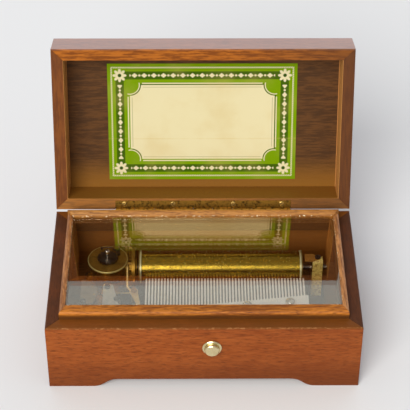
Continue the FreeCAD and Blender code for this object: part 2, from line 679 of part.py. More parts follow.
def make_frame():
    half_x, half_y = value("inner_x"), value("inner_y")
    left, right = "-glass_side + glass_ledge", "glass_side - glass_ledge"
    front, back = "glass_front + glass_ledge", "glass_back - glass_ledge"
    outer = {"fl": ("-inner_x", "-inner_y"), "fr": ("inner_x", "-inner_y"),
             "br": ("inner_x", "inner_y"), "bl": ("-inner_x", "inner_y")}
    inner = {"fl": (left, front), "fr": (right, front), "br": (right, back), "bl": (left, back)}
    make_frame_member("frame_front", [outer["fl"], outer["fr"], inner["fr"], inner["fl"]],
                      lambda middle: near(middle.y, -half_y))
    make_frame_member("frame_right", [outer["fr"], outer["br"], inner["br"], inner["fr"]],
                      lambda middle: near(middle.x, half_x))
    make_frame_member("frame_back", [outer["br"], outer["bl"], inner["bl"], inner["br"]],
                      lambda middle: near(middle.y, half_y))
    make_frame_member("frame_left", [outer["bl"], outer["fl"], inner["fl"], inner["bl"]],
                      lambda middle: near(middle.x, -half_x))


def make_glass():
    body = new_body("glass_pane")
    sketch = rectangle(body, "XY_Plane", "-glass_side", "glass_side", "glass_front", "glass_back",
                       "glass_bottom")
    pad(body, sketch, "glass_thickness")


# Hinge

def make_hinge_leaf(label, low, high, tail, first_notch, notches, bore):
    """A leaf and its knuckles on the X axis, cut away where the other leaf has its knuckles."""
    body = new_body(label)
    plate = rectangle(body, "YZ_Plane", "-leaf_reach", tail, low, high)
    pad(body, plate, "leaf_length", symmetric=True)
    pad(body, circles(body, "YZ_Plane", [("0", "0", "knuckle_radius")]), "leaf_length", symmetric=True)
    start = "(-leaf_length / 2 + (%d) * knuckle_pitch - knuckle_gap)" % first_notch
    gap = "knuckle_length + 2 * knuckle_gap"
    span = "%d * knuckle_pitch" % (2 * notches - 2)
    cuts = [pocket(body, circles(body, "YZ_Plane", [("0", "0", "groove_radius")], start), gap, reverse=True)]
    if tail != "0":
        beyond = rectangle(body, "YZ_Plane", "0", tail + " + knuckle_gap", "-knuckle_radius",
                           "knuckle_radius", start)
        cuts.append(pocket(body, beyond, gap, reverse=True))
    repeat_along_x(body, cuts, span, str(notches))
    pocket(body, circles(body, "YZ_Plane", [("0", "0", bore)]))
    return body


def make_hinge():
    case_leaf = make_hinge_leaf("case_hinge_leaf", "-leaf_outer", "-leaf_spread", "0", 1, 4, "pin_radius")
    place(case_leaf, "0", "hinge_y", "hinge_z")
    lid_leaf = make_hinge_leaf("lid_hinge_leaf", "leaf_spread", "leaf_outer", "heel_length", 0, 5,
                               "pin_radius + running_clearance")
    place_in_lid(lid_leaf)
    pin = doc.addObject("Part::Cylinder", "hinge_pin_shape")
    pin.Label = "hinge_pin"
    bind(pin, Radius="pin_radius", Height="leaf_length")
    place(pin, "-leaf_length / 2", "hinge_y", "hinge_z", Y_AXIS, 90)
    sub_parts.append(pin)


# Button

def make_button():
    """Bush and button turned about an axis that points out of the front wall, z = 0 at its outer face."""
    bush = new_body("button_bush")
    bore = "button_radius + running_clearance"
    turned(bush, [
        ("stem_radius + running_clearance", "-case_wall"),
        ("bush_radius", "-case_wall"),
        ("bush_radius", "0"),
        ("bush_flange", "0"),
        ("bush_flange", "bush_flange_thickness / 2"),
        ("bush_radius", "bush_flange_thickness"),
        (bore, "bush_flange_thickness"),
        (bore, "-case_wall + bush_web"),
        ("stem_radius + running_clearance", "-case_wall + bush_web"),
    ])
    button = new_body("button")
    cap_back = "-case_wall + bush_web + button_travel + 4 * button_wire"
    stem_end = "-case_wall - stop_bar_gap + stem_gap"
    collar = "-case_wall - running_clearance"
    turned(button, [
        ("0", stem_end),
        ("stem_radius", stem_end),
        ("stem_radius", collar + " - stem_collar_thickness"),
        ("stem_collar", collar + " - stem_collar_thickness"),
        ("stem_collar", collar),
        ("stem_radius", collar),
        ("stem_radius", cap_back),
        ("button_radius", cap_back),
        ("button_radius", "button_stand - button_dish"),
        ("button_radius - button_dish", "button_stand"),
        ("button_radius - 2 * button_dish", "button_stand"),
        ("0", "button_stand - button_dish"),
    ])
    for body in (bush, button):
        place(body, "button_shift", "-case_y", "button_height", X_AXIS, 90)


# Straight runs in a turn of a spring
SHIFT_SPRING_STEPS = 16
BUTTON_SPRING_STEPS = 10


def coil(radius, wire, pitch, turns, steps):
    """An open coil about Z from straight runs of six-sided wire, starting at z = 0."""
    spots = []
    for step in range(steps * turns + 1):
        angle = 2 * math.pi * step / steps
        rise = pitch * step / steps
        spots.append(FreeCAD.Vector(radius * math.cos(angle), radius * math.sin(angle), rise))
    return rod(spots, wire / 2)


def wire_section(position, along, radius):
    """Six-sided section of a wire that runs in a given direction."""
    corners = Part.makeCircle(radius, position, along).discretize(WIRE_SIDES + 1)
    return Part.makePolygon(corners[:-1] + corners[:1])


def rod(spots, radius):
    """A six-sided wire of straight runs with mitred corners."""
    section = wire_section(spots[0], spots[1] - spots[0], radius)
    return Part.makePolygon(spots).makePipeShell([section], True, False, 1)


# Bedplate

def make_bedplate():
    body = new_body("bedplate")
    sketch = rectangle(body, "XY_Plane", "bed_left", "bed_right", "bed_front", "bed_back", "floor_top")
    pad(body, sketch, "bed_thickness")
    bearing = [("barrel_x", "cylinder_y", "winding_radius + running_clearance")]
    pocket(body, circles(body, "XY_Plane", bearing))
    middle_z = value("(floor_top + bed_top) / 2")
    left, right = value("bed_left"), value("bed_right")
    round_edges(body, "bed_round", lambda middle: near(middle.z, middle_z)
                and (near(middle.x, left) or near(middle.x, right))
                and not near(middle.y, value("(bed_front + bed_back) / 2")))


# Comb

def comb_screw_spots(radius):
    return [("comb_screw_x - %d * comb_screw_pitch" % index,
             "comb_screw_y - %d * comb_screw_slope * comb_screw_pitch" % index, radius)
            for index in range(int(value("comb_screw_count")))]


def make_comb():
    body = new_body("comb")
    plate = outline(body, "XY_Plane", [
        ("comb_end", "comb_front"),
        ("comb_right", "comb_front"),
        ("comb_right", "root_y"),
        ("comb_end", "root_end_y"),
    ], "comb_bottom")
    pad(body, plate, "comb_thickness")
    prong = rectangle(body, "XY_Plane", "comb_left - prong_width / 2", "comb_left + prong_width / 2",
                      "root_end_y - prong_width", "comb_tip", "comb_bottom")
    prongs = repeat_along_x(body, [pad(body, prong, "comb_thickness")],
                            "comb_last - comb_left", "comb_teeth")
    prongs.Refine = True
    pocket(body, circles(body, "XY_Plane", comb_screw_spots("comb_screw_shank")))


def make_comb_base():
    body = new_body("comb_base")
    block = outline(body, "XY_Plane", [
        ("comb_end", "comb_front"),
        ("comb_right", "comb_front"),
        ("comb_right", "root_y - base_inset"),
        ("comb_end", "root_end_y - base_inset"),
    ], "bed_top")
    pad(body, block, "comb_bottom - bed_top")


def make_comb_screws():
    """Screws with crowned heads on the comb and plain shanks through it."""
    rim, radius, reach = value("comb_screw_dome / 2"), value("comb_screw_head"), value("comb_thickness")
    shape = Part.makeCylinder(radius, rim).fuse([
        Part.makeCone(radius, radius - rim, rim, FreeCAD.Vector(0, 0, rim)),
        Part.makeCylinder(value("comb_screw_shank"), reach, FreeCAD.Vector(0, 0, -reach)),
    ]).removeSplitter()
    spots = [point(x, y, "cylinder_z") for x, y, _ in comb_screw_spots("comb_screw_shank")]
    new_shape("comb_screws", Part.makeCompound([shape.translated(spot) for spot in spots]))


def make_tuning_leads():
    """Small weights soldered under the tips of the bass prongs."""
    leads = []
    for index in range(int(value("lead_count"))):
        shift = " + %d * comb_pitch" % index
        corner = point("comb_left - prong_width / 2" + shift, "comb_tip - lead_length - prong_width",
                       "comb_bottom - lead_height")
        leads.append(Part.makeBox(value("prong_width"), value("lead_length"), value("lead_height"), corner))
    new_shape("tuning_leads", Part.makeCompound(leads))


# Cylinder, its arbor and the pillar at its right end

def make_arbor():
    """Arbor along its own Z axis, placed to run along X."""
    body = new_body("cylinder_arbor")
    right = "(pillar_left - end_shake)"
    turned(body, [
        ("0", "arm_left - end_shake"),
        ("arbor_pivot_left", "arm_left - end_shake"),
        ("arbor_pivot_left", "wheel_left"),
        ("arbor_radius", "wheel_left"),
        ("arbor_radius", right + " - shift_collar"),
        ("shift_coil_radius", right + " - shift_collar"),
        ("shift_coil_radius", right),
        ("arbor_pivot_right", right),
        ("arbor_pivot_right", "pillar_right + arbor_stub"),
        ("0", "pillar_right + arbor_stub"),
    ])
    place(body, "0", "cylinder_y", "cylinder_z", Y_AXIS, 90)


def ring(body, bore, radius, low, high):
    return turned(body, [(bore, low), (radius, low), (radius, high), (bore, high)])


def make_cylinder():
    bore = "arbor_radius + running_clearance"
    cap_radius = "cylinder_radius + cap_rim"
    tube = new_body("cylinder_tube")
    ring(tube, "cylinder_radius - cylinder_wall", "cylinder_radius", "cylinder_left + cap_thickness",
         "cylinder_right - cap_thickness")
    left = new_body("cylinder_cap_left")
    ring(left, bore, cap_radius, "cylinder_left", "cylinder_left + cap_thickness")
    follower = circles(left, "XY_Plane", [("0", "cam_radius - 2 * follower_radius", "follower_radius")],
                       "cylinder_left")
    pad_length = "wheel_gap - 2 * cam_rise - running_clearance"
    pad(left, follower, pad_length).Reversed = True
    right = new_body("cylinder_cap_right")
    ring(right, bore, cap_radius, "cylinder_right - cap_thickness", "cylinder_right")
    for body in (tube, left, right):
        place(body, "0", "cylinder_y", "cylinder_z", Y_AXIS, 90)


def make_pins():
    """Short steel pins round the cylinder, ring after ring, at angles that drift like a tune."""
    pins = []
    width = value("pin_width")
    rings = int(value("pin_rings"))
    per_ring = int(value("pins_per_ring"))
    start = value("comb_left")
    step = value("(cylinder_right - cap_thickness - comb_left) / pin_rings")
    for ring_index in range(rings):
        for pin_index in range(per_ring):
            turn = 360.0 * (pin_index + (ring_index * 7 % 12) / 12.0) / per_ring
            pin = Part.makeBox(width, width, value("pin_height"),
                               FreeCAD.Vector(-width / 2, -width / 2, value("cylinder_radius")))
            pin.rotate(FreeCAD.Vector(0, 0, 0), X_AXIS, turn)
            pin.translate(FreeCAD.Vector(start + (ring_index + 0.5) * step, 0, 0))
            pins.append(pin)
    return Part.makeCompound(pins)


def gear_blank(teeth, module, root_share, tip_share):
    """Outline of a spur gear with straight-flanked teeth, the first tooth on the X axis."""
    pitch_radius = module * teeth / 2
    root = pitch_radius - DEDENDUM * module
    tip = pitch_radius + module
    corners = []
    for index in range(teeth):
        middle = 2 * math.pi * index / teeth
        for radius, share in ((root, -root_share), (tip, -tip_share), (tip, tip_share), (root, root_share)):
            angle = middle + share * 2 * math.pi / teeth
            corners.append(FreeCAD.Vector(radius * math.cos(angle), radius * math.sin(angle), 0))
    return Part.Face(Part.makePolygon(corners + corners[:1]))


def make_cylinder_wheel():
    """Crown wheel: a disc whose teeth stand out to the left, towards the barrel."""
    body = new_body("cylinder_wheel")
    ring(body, "arbor_radius", "wheel_radius", "wheel_left", "wheel_right")
    inner = "(crown_pitch - flange_thickness / 2)"
    outer = "(crown_pitch + flange_thickness / 2)"
    profile = outline(body, "YZ_Plane", [
        ("-crown_root", "wheel_left"),
        ("-crown_tip", "wheel_tip"),
        ("crown_tip", "wheel_tip"),
        ("crown_root", "wheel_left"),
    ], inner)
    tooth = pad(body, profile, "%s - %s" % (outer, inner))
    repeat_round(body, [tooth], "wheel_teeth")
    turn = FreeCAD.Rotation(X_AXIS, 180.0 / value("wheel_teeth"))
    lay = FreeCAD.Rotation(Y_AXIS, 90)
    body.Placement = FreeCAD.Placement(point("0", "cylinder_y", "cylinder_z"), turn.multiply(lay))


def make_tune_cam():
    """Steps round the arbor that set how far right the cylinder stands."""
    body = new_body("tune_cam")
    ring(body, "arbor_radius", "cam_radius", "wheel_right", "wheel_right + cam_rise")
    for level in range(1, int(value("cam_steps"))):
        angles = ["%d * 180 / cam_steps" % (half - 2 * level) for half in range(3)]
        outer, inner = [[("%s * cos(%s)" % (radius, angle), "%s * sin(%s)" % (radius, angle))
                         for angle in angles] for radius in ("cam_radius", "arbor_radius")]
        sector = outline(body, "XY_Plane", [
            outer[0] + ("cam_radius",),
            outer[1] + ("cam_radius",),
            outer[2],
            inner[2] + ("-arbor_radius",),
            inner[1] + ("-arbor_radius",),
            inner[0],
        ], "wheel_right")
        pad(body, sector, "%d * cam_rise" % (level + 1))
    place(body, "0", "cylinder_y", "cylinder_z", Y_AXIS, 90)


def make_cylinder_group():
    make_arbor()
    make_cylinder_wheel()
    make_tune_cam()
    make_cylinder()
    new_shape("cylinder_pins", make_pins(),
              FreeCAD.Placement(point("0", "cylinder_y", "cylinder_z"), FreeCAD.Rotation()))
    room = value("pillar_gap - end_shake - shift_collar - cylinder_shift")
    wire = value("shift_wire")
    turns = int(value("shift_turns"))
    pitch = (room - 2 * wire) / turns
    spring = coil(value("shift_coil_radius"), wire, pitch, turns, SHIFT_SPRING_STEPS)
    print("shift spring: gap between turns %.2f" % (pitch - wire))
    start = point("pillar_left - end_shake - shift_collar - shift_wire / 2", "cylinder_y", "cylinder_z")
    new_shape("shift_spring", spring, FreeCAD.Placement(start, FreeCAD.Rotation(Y_AXIS, -90)))


def make_pillar():
    body = new_body("right_pillar")
    low, high = "cylinder_y - pillar_width / 2", "cylinder_y + pillar_width / 2"
    pad(body, rectangle(body, "YZ_Plane", low, high, "bed_top", "pillar_top", "pillar_left"),
        "pillar_thickness")
    bore = circles(body, "YZ_Plane", [("cylinder_y", "cylinder_z", "arbor_pivot_right + running_clearance")])
    pocket(body, bore)
    top, centre = value("pillar_top"), value("(pillar_left + pillar_right) / 2")
    sides = (value(low), value(high))
    round_edges(body, "pillar_round", lambda middle: near(middle.z, top) and near(middle.x, centre)
                and (near(middle.y, sides[0]) or near(middle.y, sides[1])))


def make_finger():
    """Springy strip under the pillar's screw that turns the tune cam."""
    body = new_body("change_finger")
    middle_x = "(pillar_left + pillar_right) / 2"
    half = "finger_width / 2"
    tip = "pillar_left - finger_reach"
    strip = outline(body, "XY_Plane", [
        (tip, "cylinder_y - finger_end_width / 2"),
        ("pillar_left", "cylinder_y - finger_end_width / 2"),
        (middle_x, "cylinder_y - " + half, half),
        (middle_x + " + " + half, "cylinder_y", half),
        (middle_x, "cylinder_y + " + half),
        ("pillar_left", "cylinder_y + finger_end_width / 2"),
        (tip, "cylinder_y + finger_end_width / 2"),
    ], "pillar_top")
    pad(body, strip, "finger_thickness")


# Left bracket, barrel and winding work

def make_left_bracket():
    """Column behind the barrel, and the arm that bears the arbor and carries the bridge on its top."""
    body = new_body("left_bracket")
    column_back = "column_y + column_depth"
    arm = rectangle(body, "YZ_Plane", "cylinder_y", column_back, "cylinder_z - arm_height / 2",
                    "bridge_bottom", "arm_left")
    pad(body, arm, "arm_thickness")
    pad(body, circles(body, "YZ_Plane", [("cylinder_y", "cylinder_z", "boss_radius")], "arm_left"),
        "boss_end - arm_left")
    column = rectangle(body, "XY_Plane", "arm_right - column_width", "arm_right", "column_y", column_back,
                       "bed_top")
    pad(body, column, "bridge_bottom - bed_top")
    bore = circles(body, "YZ_Plane", [("cylinder_y", "cylinder_z", "arbor_pivot_left + running_clearance")])
    pocket(body, bore)


def click_pivot():
    return ("barrel_x + click_distance * cos(click_bearing)",
            "cylinder_y + click_distance * sin(click_bearing)")


def make_bridge():
    """Round plate over the barrel, seated on the bracket's arm, with a riveted stud for the click."""
    body = new_body("barrel_bridge")
    disc = circles(body, "XY_Plane", [("barrel_x", "cylinder_y", "bridge_radius")], "bridge_bottom")
    pad(body, disc, "bridge_thickness")
    bearing = [("barrel_x", "cylinder_y", "winding_radius + running_clearance")]
    pocket(body, circles(body, "XY_Plane", bearing))
    head_bottom = "(ratchet_top + running_clearance)"
    for radius, low, height in (("click_stud", "bridge_top", head_bottom + " - bridge_top"),
                                ("stud_head", head_bottom, "stud_head_height")):
        pad(body, circles(body, "XY_Plane", [click_pivot() + (radius,)], low), height)


def make_barrel():
    """Toothed drum that holds the mainspring, its cover let in at the top."""
    drum = new_body("barrel_drum")
    root = "barrel_pitch - %s * train_module" % DEDENDUM
    bore = "winding_radius + running_clearance"
    inner = "drum_radius - drum_wall"
    turned(drum, [
        (bore, "flange_bottom"),
        (root, "flange_bottom"),
        (root, "flange_bottom + flange_thickness"),
        ("drum_radius", "flange_bottom + flange_thickness"),
        ("drum_radius", "drum_top"),
        (inner, "drum_top"),
        (inner, "flange_bottom + flange_thickness"),
        (bore, "flange_bottom + flange_thickness"),
    ])
    tip = "barrel_pitch + train_module"
    profile = outline(drum, "XY_Plane", [
        (root + " - drum_wall", "-barrel_tooth_root"),
        (tip, "-barrel_tooth_tip"),
        (tip, "barrel_tooth_tip"),
        (root + " - drum_wall", "barrel_tooth_root"),
    ], "flange_bottom")
    repeat_round(drum, [pad(drum, profile, "flange_thickness")], "barrel_teeth")
    cover = new_body("barrel_cover")
    ring(cover, bore, inner, "drum_top - drum_wall", "drum_top")
    for body in (drum, cover):
        place(body, "barrel_x", "cylinder_y")


def make_mainspring():
    """Spiral strip of half circles, each a little larger than the one before."""
    thickness = value("mainspring_thickness")
    turns = int(value("mainspring_turns"))
    inner = value("winding_radius + 4 * running_clearance") + thickness
    outer = value("drum_radius - drum_wall") - thickness / 2 - value("running_clearance")
    growth = (outer - inner) / (2 * turns)

    def spiral(offset):
        edges = []
        position, side = inner + offset, 1
        for half_turn in range(2 * turns):
            reach = inner + offset + (half_turn + 1) * growth
            centre = (position - reach) / 2 * side
            radius = (position + reach) / 2
            start = FreeCAD.Vector(position * side, 0, 0)
            top = FreeCAD.Vector(centre, radius * side, 0)
            end = FreeCAD.Vector(-reach * side, 0, 0)
            edges.append(Part.Arc(start, top, end).toShape())
            position, side = reach, -side
        return edges, start, end

    inside, _, inside_end = spiral(-thickness / 2)
    outside, _, outside_end = spiral(thickness / 2)
    start_cap = Part.makeLine(inside[0].Vertexes[0].Point, outside[0].Vertexes[0].Point)
    end_cap = Part.makeLine(inside_end, outside_end)
    border = Part.Wire(Part.__sortEdges__(inside + [end_cap] + outside + [start_cap]))
    low = value("flange_bottom + flange_thickness + running_clearance")
    high = value("drum_top - drum_wall - running_clearance")
    strip = Part.Face(border).extrude(FreeCAD.Vector(0, 0, high - low))
    new_shape("mainspring", strip, FreeCAD.Placement(point("barrel_x", "cylinder_y", str(low)),
                                                     FreeCAD.Rotation()))


def make_winding():
    arbor = new_body("winding_arbor")
    foot = "key_lift + key_height / 2"
    turned(arbor, [
        ("0", foot),
        ("winding_radius", foot),
        ("winding_radius", "stud_top - winding_radius / 3"),
        ("winding_radius * 2 / 3", "stud_top"),
        ("0", "stud_top"),
    ])
    place(arbor, "barrel_x", "cylinder_y")
    ratchet = new_body("ratchet_wheel")
    ring(ratchet, "winding_radius", "ratchet_radius", "ratchet_bottom", "ratchet_top")
    beyond = "(ratchet_radius + ratchet_depth)"
    notch = outline(ratchet, "XY_Plane", [
        ("ratchet_radius - ratchet_depth", "0"),
        (beyond, "0"),
        (beyond + " * cos(360 / ratchet_teeth)", beyond + " * sin(360 / ratchet_teeth)"),
        ("ratchet_radius * cos(360 * ratchet_slope / ratchet_teeth)",
         "ratchet_radius * sin(360 * ratchet_slope / ratchet_teeth)"),
    ], "ratchet_top + ratchet_gap")
    cut = pocket(ratchet, notch, "ratchet_thickness + 2 * ratchet_gap")
    repeat_round(ratchet, [cut], "ratchet_teeth")
    place(ratchet, "barrel_x", "cylinder_y")


def make_key():
    """Butterfly key on the lower end of the winding arbor, in the recess under the floor."""
    body = new_body("winding_key")
    low, high = "key_lift", "key_lift + key_height"
    half = "key_width / 2"
    radius = "key_height / 2"
    waist = "key_height / 4"
    middle = "(key_lift + key_height / 2)"
    bow = outline(body, "XZ_Plane", [
        ("-%s + %s" % (half, radius), high, radius),
        ("-%s" % half, middle, radius),
        ("-%s + %s" % (half, radius), low),
        ("-key_hub_radius", middle + " - " + waist),
        ("key_hub_radius", middle + " - " + waist),
        ("%s - %s" % (half, radius), low, radius),
        (half, middle, radius),
        ("%s - %s" % (half, radius), high),
        ("key_hub_radius", middle + " + " + waist),
        ("-key_hub_radius", middle + " + " + waist),
    ])
    pad(body, bow, "key_thickness", symmetric=True)
    hub = circles(body, "XY_Plane", [("0", "0", "key_hub_radius")], low)
    pad(body, hub, "key_height")
    bore = circles(body, "XY_Plane", [("0", "0", "winding_radius")], high)
    pocket(body, bore, "key_height / 2")
    place(body, "barrel_x", "cylinder_y")


def make_click():
    """Pawl on the bridge whose nose stands just clear of the ratchet's tips."""
    body = new_body("click")
    tip = "(ratchet_radius + click_gap)"
    back = "(ratchet_radius + stud_head)"
    pad(body, circles(body, "XY_Plane", [("0", "0", "click_boss")], "ratchet_bottom"),
        "ratchet_thickness")
    nose = outline(body, "XY_Plane", [
        ("-stud_head", "-stud_head / 3"),
        ("%s * cos(click_lead) - click_distance" % tip, "-%s * sin(click_lead)" % tip),
        ("%s * cos(click_lead) - click_distance" % back, "-%s * sin(click_lead)" % back),
        ("stud_head / 2", "-stud_head"),
    ], "ratchet_bottom")
    pad(body, nose, "ratchet_thickness")
    bore = circles(body, "XY_Plane", [("0", "0", "click_stud + running_clearance")])
    pocket(body, bore)
    pivot = click_pivot()
    place(body, pivot[0], pivot[1], "0", Z_AXIS, value("click_bearing"))


CLICK_SPRING_BEARINGS = (54, 42, 30, 16)


def make_click_spring():
    """Wire that stands on a stud of the bridge and ends beside the click's boss."""
    def spot(bearing, height):
        reach = value("click_distance")
        return point("barrel_x", "cylinder_y", height) + FreeCAD.Vector(
            reach * math.cos(math.radians(bearing)), reach * math.sin(math.radians(bearing)), 0)
    start = value("click_bearing")
    wire = value("click_wire")
    stud_height = value("ratchet_thickness")
    middle = "bridge_top + ratchet_thickness / 2"
    bends = [spot(start + bearing, middle) for bearing in CLICK_SPRING_BEARINGS]
    stud = Part.makeCylinder(3 * wire, stud_height, spot(start + CLICK_SPRING_BEARINGS[0], "bridge_top"))
    new_shape("click_spring", stud.fuse(rod(bends, wire)).removeSplitter())


# Governor

def make_governor_frame():
    body = new_body("governor_frame")
    half_w, half_d = "post_width / 2", "post_depth / 2"
    base = rectangle(body, "XY_Plane", "left_post_x - " + half_w, "right_post_x + " + half_w,
                     "worm_y - " + half_d, "train_post_y + train_post_radius", "bed_top")
    pad(body, base, "governor_base")
    for x, top in (("left_post_x", "train_plate_z"), ("right_post_x", "cock_z")):
        post = rectangle(body, "XY_Plane", "%s - %s" % (x, half_w), "%s + %s" % (x, half_w),
                         "worm_y - " + half_d, "worm_y + " + half_d, "bed_top")
        pad(body, post, top + " - bed_top")
    pillar = [("cock_pillar_x", "cock_pillar_y", "cock_pillar_radius")]
    pad(body, circles(body, "XY_Plane", pillar, "bed_top"), "cock_z - bed_top")
    post = [("train_post_x", "train_post_y", "train_post_radius")]
    pad(body, circles(body, "XY_Plane", post, "bed_top"), "train_plate_z - bed_top")
    pivot = "governor_pivot + running_clearance"
    pocket(body, circles(body, "YZ_Plane", [("worm_y", "worm_z", pivot)]))
    pocket(body, circles(body, "XY_Plane", [("first_x", "first_y", pivot), ("second_x", "second_y", pivot)]))


def make_governor_plates():
    pivot = "governor_pivot + running_clearance"
    margin = "train_plate_edge"
    bridge = new_body("train_bridge")
    plan = outline(bridge, "XY_Plane", [
        ("left_post_x - " + margin, "worm_y - " + margin),
        ("second_x - governor_pivot", "worm_y - " + margin),
        ("second_x + 4 * governor_pivot", "second_y"),
        ("first_x + 4 * governor_pivot", "first_y"),
        ("train_post_x + " + margin, "train_post_y + train_post_radius"),
        ("left_post_x - " + margin, "train_post_y + train_post_radius"),
    ], "train_plate_z")
    pad(bridge, plan, "train_plate")
    holes = [("first_x", "first_y", pivot), ("second_x", "second_y", pivot)]
    pocket(bridge, circles(bridge, "XY_Plane", holes))
    cock = new_body("governor_cock")
    edge = "cock_edge"
    plan = outline(cock, "XY_Plane", [
        ("cock_pillar_x - " + edge, "worm_y - cock_front"),
        ("right_post_x + post_width", "worm_y - cock_front"),
        ("right_post_x + post_width / 2", "worm_y - post_depth"),
        ("cock_pillar_x + cock_tail", "cock_pillar_y + " + edge),
        ("cock_pillar_x - " + edge, "cock_pillar_y + " + edge),
    ], "cock_z")
    pad(cock, plan, "cock_plate")


def governor_arbor(low, high, pivot_low, pivot_high):
    """Upright arbor with a pivot at each end, all heights above the ground."""
    body = Part.makeCylinder(value("governor_arbor"), high - low, FreeCAD.Vector(0, 0, low))
    pivots = Part.makeCylinder(value("governor_pivot"), pivot_high - pivot_low,
                               FreeCAD.Vector(0, 0, pivot_low))
    return body.fuse(pivots)


def toothed(teeth, module, low, thickness, turn, shares):
    shape = gear_blank(int(value(teeth)), value(module), shares[0], shares[1])
    shape = shape.extrude(FreeCAD.Vector(0, 0, thickness))
    shape.rotate(FreeCAD.Vector(0, 0, 0), Z_AXIS, turn)
    shape.translate(FreeCAD.Vector(0, 0, low))
    return shape


WHEEL_SHARES = (0.27, 0.12)
PINION_SHARES = (0.22, 0.13)
WORM_WHEEL_SHARES = (0.22, 0.11)
WORM_BEARING = -90.0


def meshing_turn(bearing, driver_teeth, driver_turn, teeth):
    """Turn of a wheel whose tooth gap meets a driver's tooth along the line at a bearing."""
    ratio = driver_teeth / teeth
    return bearing + 180.0 - ratio * (driver_turn - bearing) - 180.0 / teeth


def make_governor_wheels():
    shake = value("end_shake")
    low, high = value("base_top") + shake, value("train_plate_z") - shake
    pivot_low, pivot_high = value("bed_top") + shake, value("train_plate_z + train_plate")
    face = value("flange_thickness") + shake
    turn = meshing_turn(value("first_bearing"), value("barrel_teeth"), 0.0, value("first_teeth"))
    first = governor_arbor(low, high, pivot_low, pivot_high)
    first = first.fuse([
        toothed("first_teeth", "train_module", value("flange_bottom") - shake / 2, face, turn,
                PINION_SHARES),
        toothed("first_wheel_teeth", "governor_module", value("first_wheel_z"),
                value("first_wheel_thickness"), 0.0, WHEEL_SHARES),
    ])
    new_shape("first_wheel", first.removeSplitter(),
              FreeCAD.Placement(point("first_x", "first_y"), FreeCAD.Rotation()))
    turn = meshing_turn(value("second_bearing"), value("first_wheel_teeth"), 0.0, value("second_teeth"))
    wheel_low = value("worm_z - worm_wheel_thickness / 2")
    half_tooth = 180.0 / value("worm_wheel_teeth")
    second = governor_arbor(low, high, pivot_low, pivot_high)
    second = second.fuse([
        toothed("second_teeth", "governor_module", value("first_wheel_z") - shake,
                value("first_wheel_thickness") + 2 * shake, turn, PINION_SHARES),
        toothed("worm_wheel_teeth", "governor_module", wheel_low, value("worm_wheel_thickness"),
                WORM_BEARING + half_tooth, WORM_WHEEL_SHARES),
    ])
    new_shape("second_wheel", second.removeSplitter(),
              FreeCAD.Placement(point("second_x", "second_y"), FreeCAD.Rotation()))


THREAD_STEPS = 8


def faceted_thread(lead, turns, inner, outer, half_root, half_tip, steps):
    """Right-handed thread about Z from flat facets, its section a trapezium."""
    rings = []
    for step in range(int(turns * steps) + 1):
        angle = 2 * math.pi * step / steps
        height = lead * step / steps
        rings.append([FreeCAD.Vector(radius * math.cos(angle), radius * math.sin(angle), height + offset)
                      for radius, offset in ((inner, -half_root), (outer, -half_tip),
                                             (outer, half_tip), (inner, half_root))])
    faces = [Part.Face(Part.makePolygon(ring + ring[:1])) for ring in (rings[0], rings[-1])]
    for ring, following in zip(rings, rings[1:]):
        for corner in range(4):
            after = (corner + 1) % 4
            a, b, c, d = ring[corner], ring[after], following[after], following[corner]
            faces.append(Part.Face(Part.makePolygon([a, b, c, a])))
            faces.append(Part.Face(Part.makePolygon([a, c, d, a])))
    solid = Part.Solid(Part.Shell(faces))
    if solid.Volume < 0:
        solid.reverse()
    return solid


def make_endless_screw():
    lead = math.pi * value("governor_module")
    turns = value("worm_turns")
    core = value("worm_core")
    thread = faceted_thread(lead, turns, core / 2, value("worm_pitch_radius + thread_rise"),
                            value("thread_root"), value("thread_tip"), THREAD_STEPS)
    facing = (0.25 + math.floor(turns / 2)) * lead
    thread.translate(FreeCAD.Vector(0, 0, value("second_x") - facing))
    shake = value("end_shake")
    left = value("left_post_x + post_width / 2") + shake
    right = value("right_post_x - post_width / 2") - shake
    corners = [FreeCAD.Vector(core * math.cos(turn), core * math.sin(turn), left)
               for turn in (2 * math.pi * step / THREAD_STEPS for step in range(THREAD_STEPS))]
    screw = Part.Face(Part.makePolygon(corners + corners[:1])).extrude(FreeCAD.Vector(0, 0, right - left))
    pivot_left = value("left_post_x - post_width / 2")
    pivot_right = value("right_post_x + post_width / 2")
    pivots = Part.makeCylinder(value("governor_pivot"), pivot_right - pivot_left,
                               FreeCAD.Vector(0, 0, pivot_left))
    screw = screw.fuse([pivots, thread])
    lay = FreeCAD.Placement(point("0", "worm_y", "worm_z"), FreeCAD.Rotation(Y_AXIS, 90))
    new_shape("endless_screw", screw, lay)
    fan = new_body("fan")
    start = "second_x + fan_offset"
    ring(fan, "worm_core", "2 * worm_core", start, start + " + fan_length")
    for side in ("-", ""):
        near_edge, far_edge = side + "1.5 * worm_core", side + "fan_radius"
        if side:
            near_edge, far_edge = far_edge, near_edge
        blade = rectangle(fan, "XY_Plane", near_edge, far_edge, "-fan_thickness / 2", "fan_thickness / 2",
                          start)
        pad(fan, blade, "fan_length")
    place(fan, "0", "worm_y", "worm_z", Y_AXIS, 90)


# Stop lever

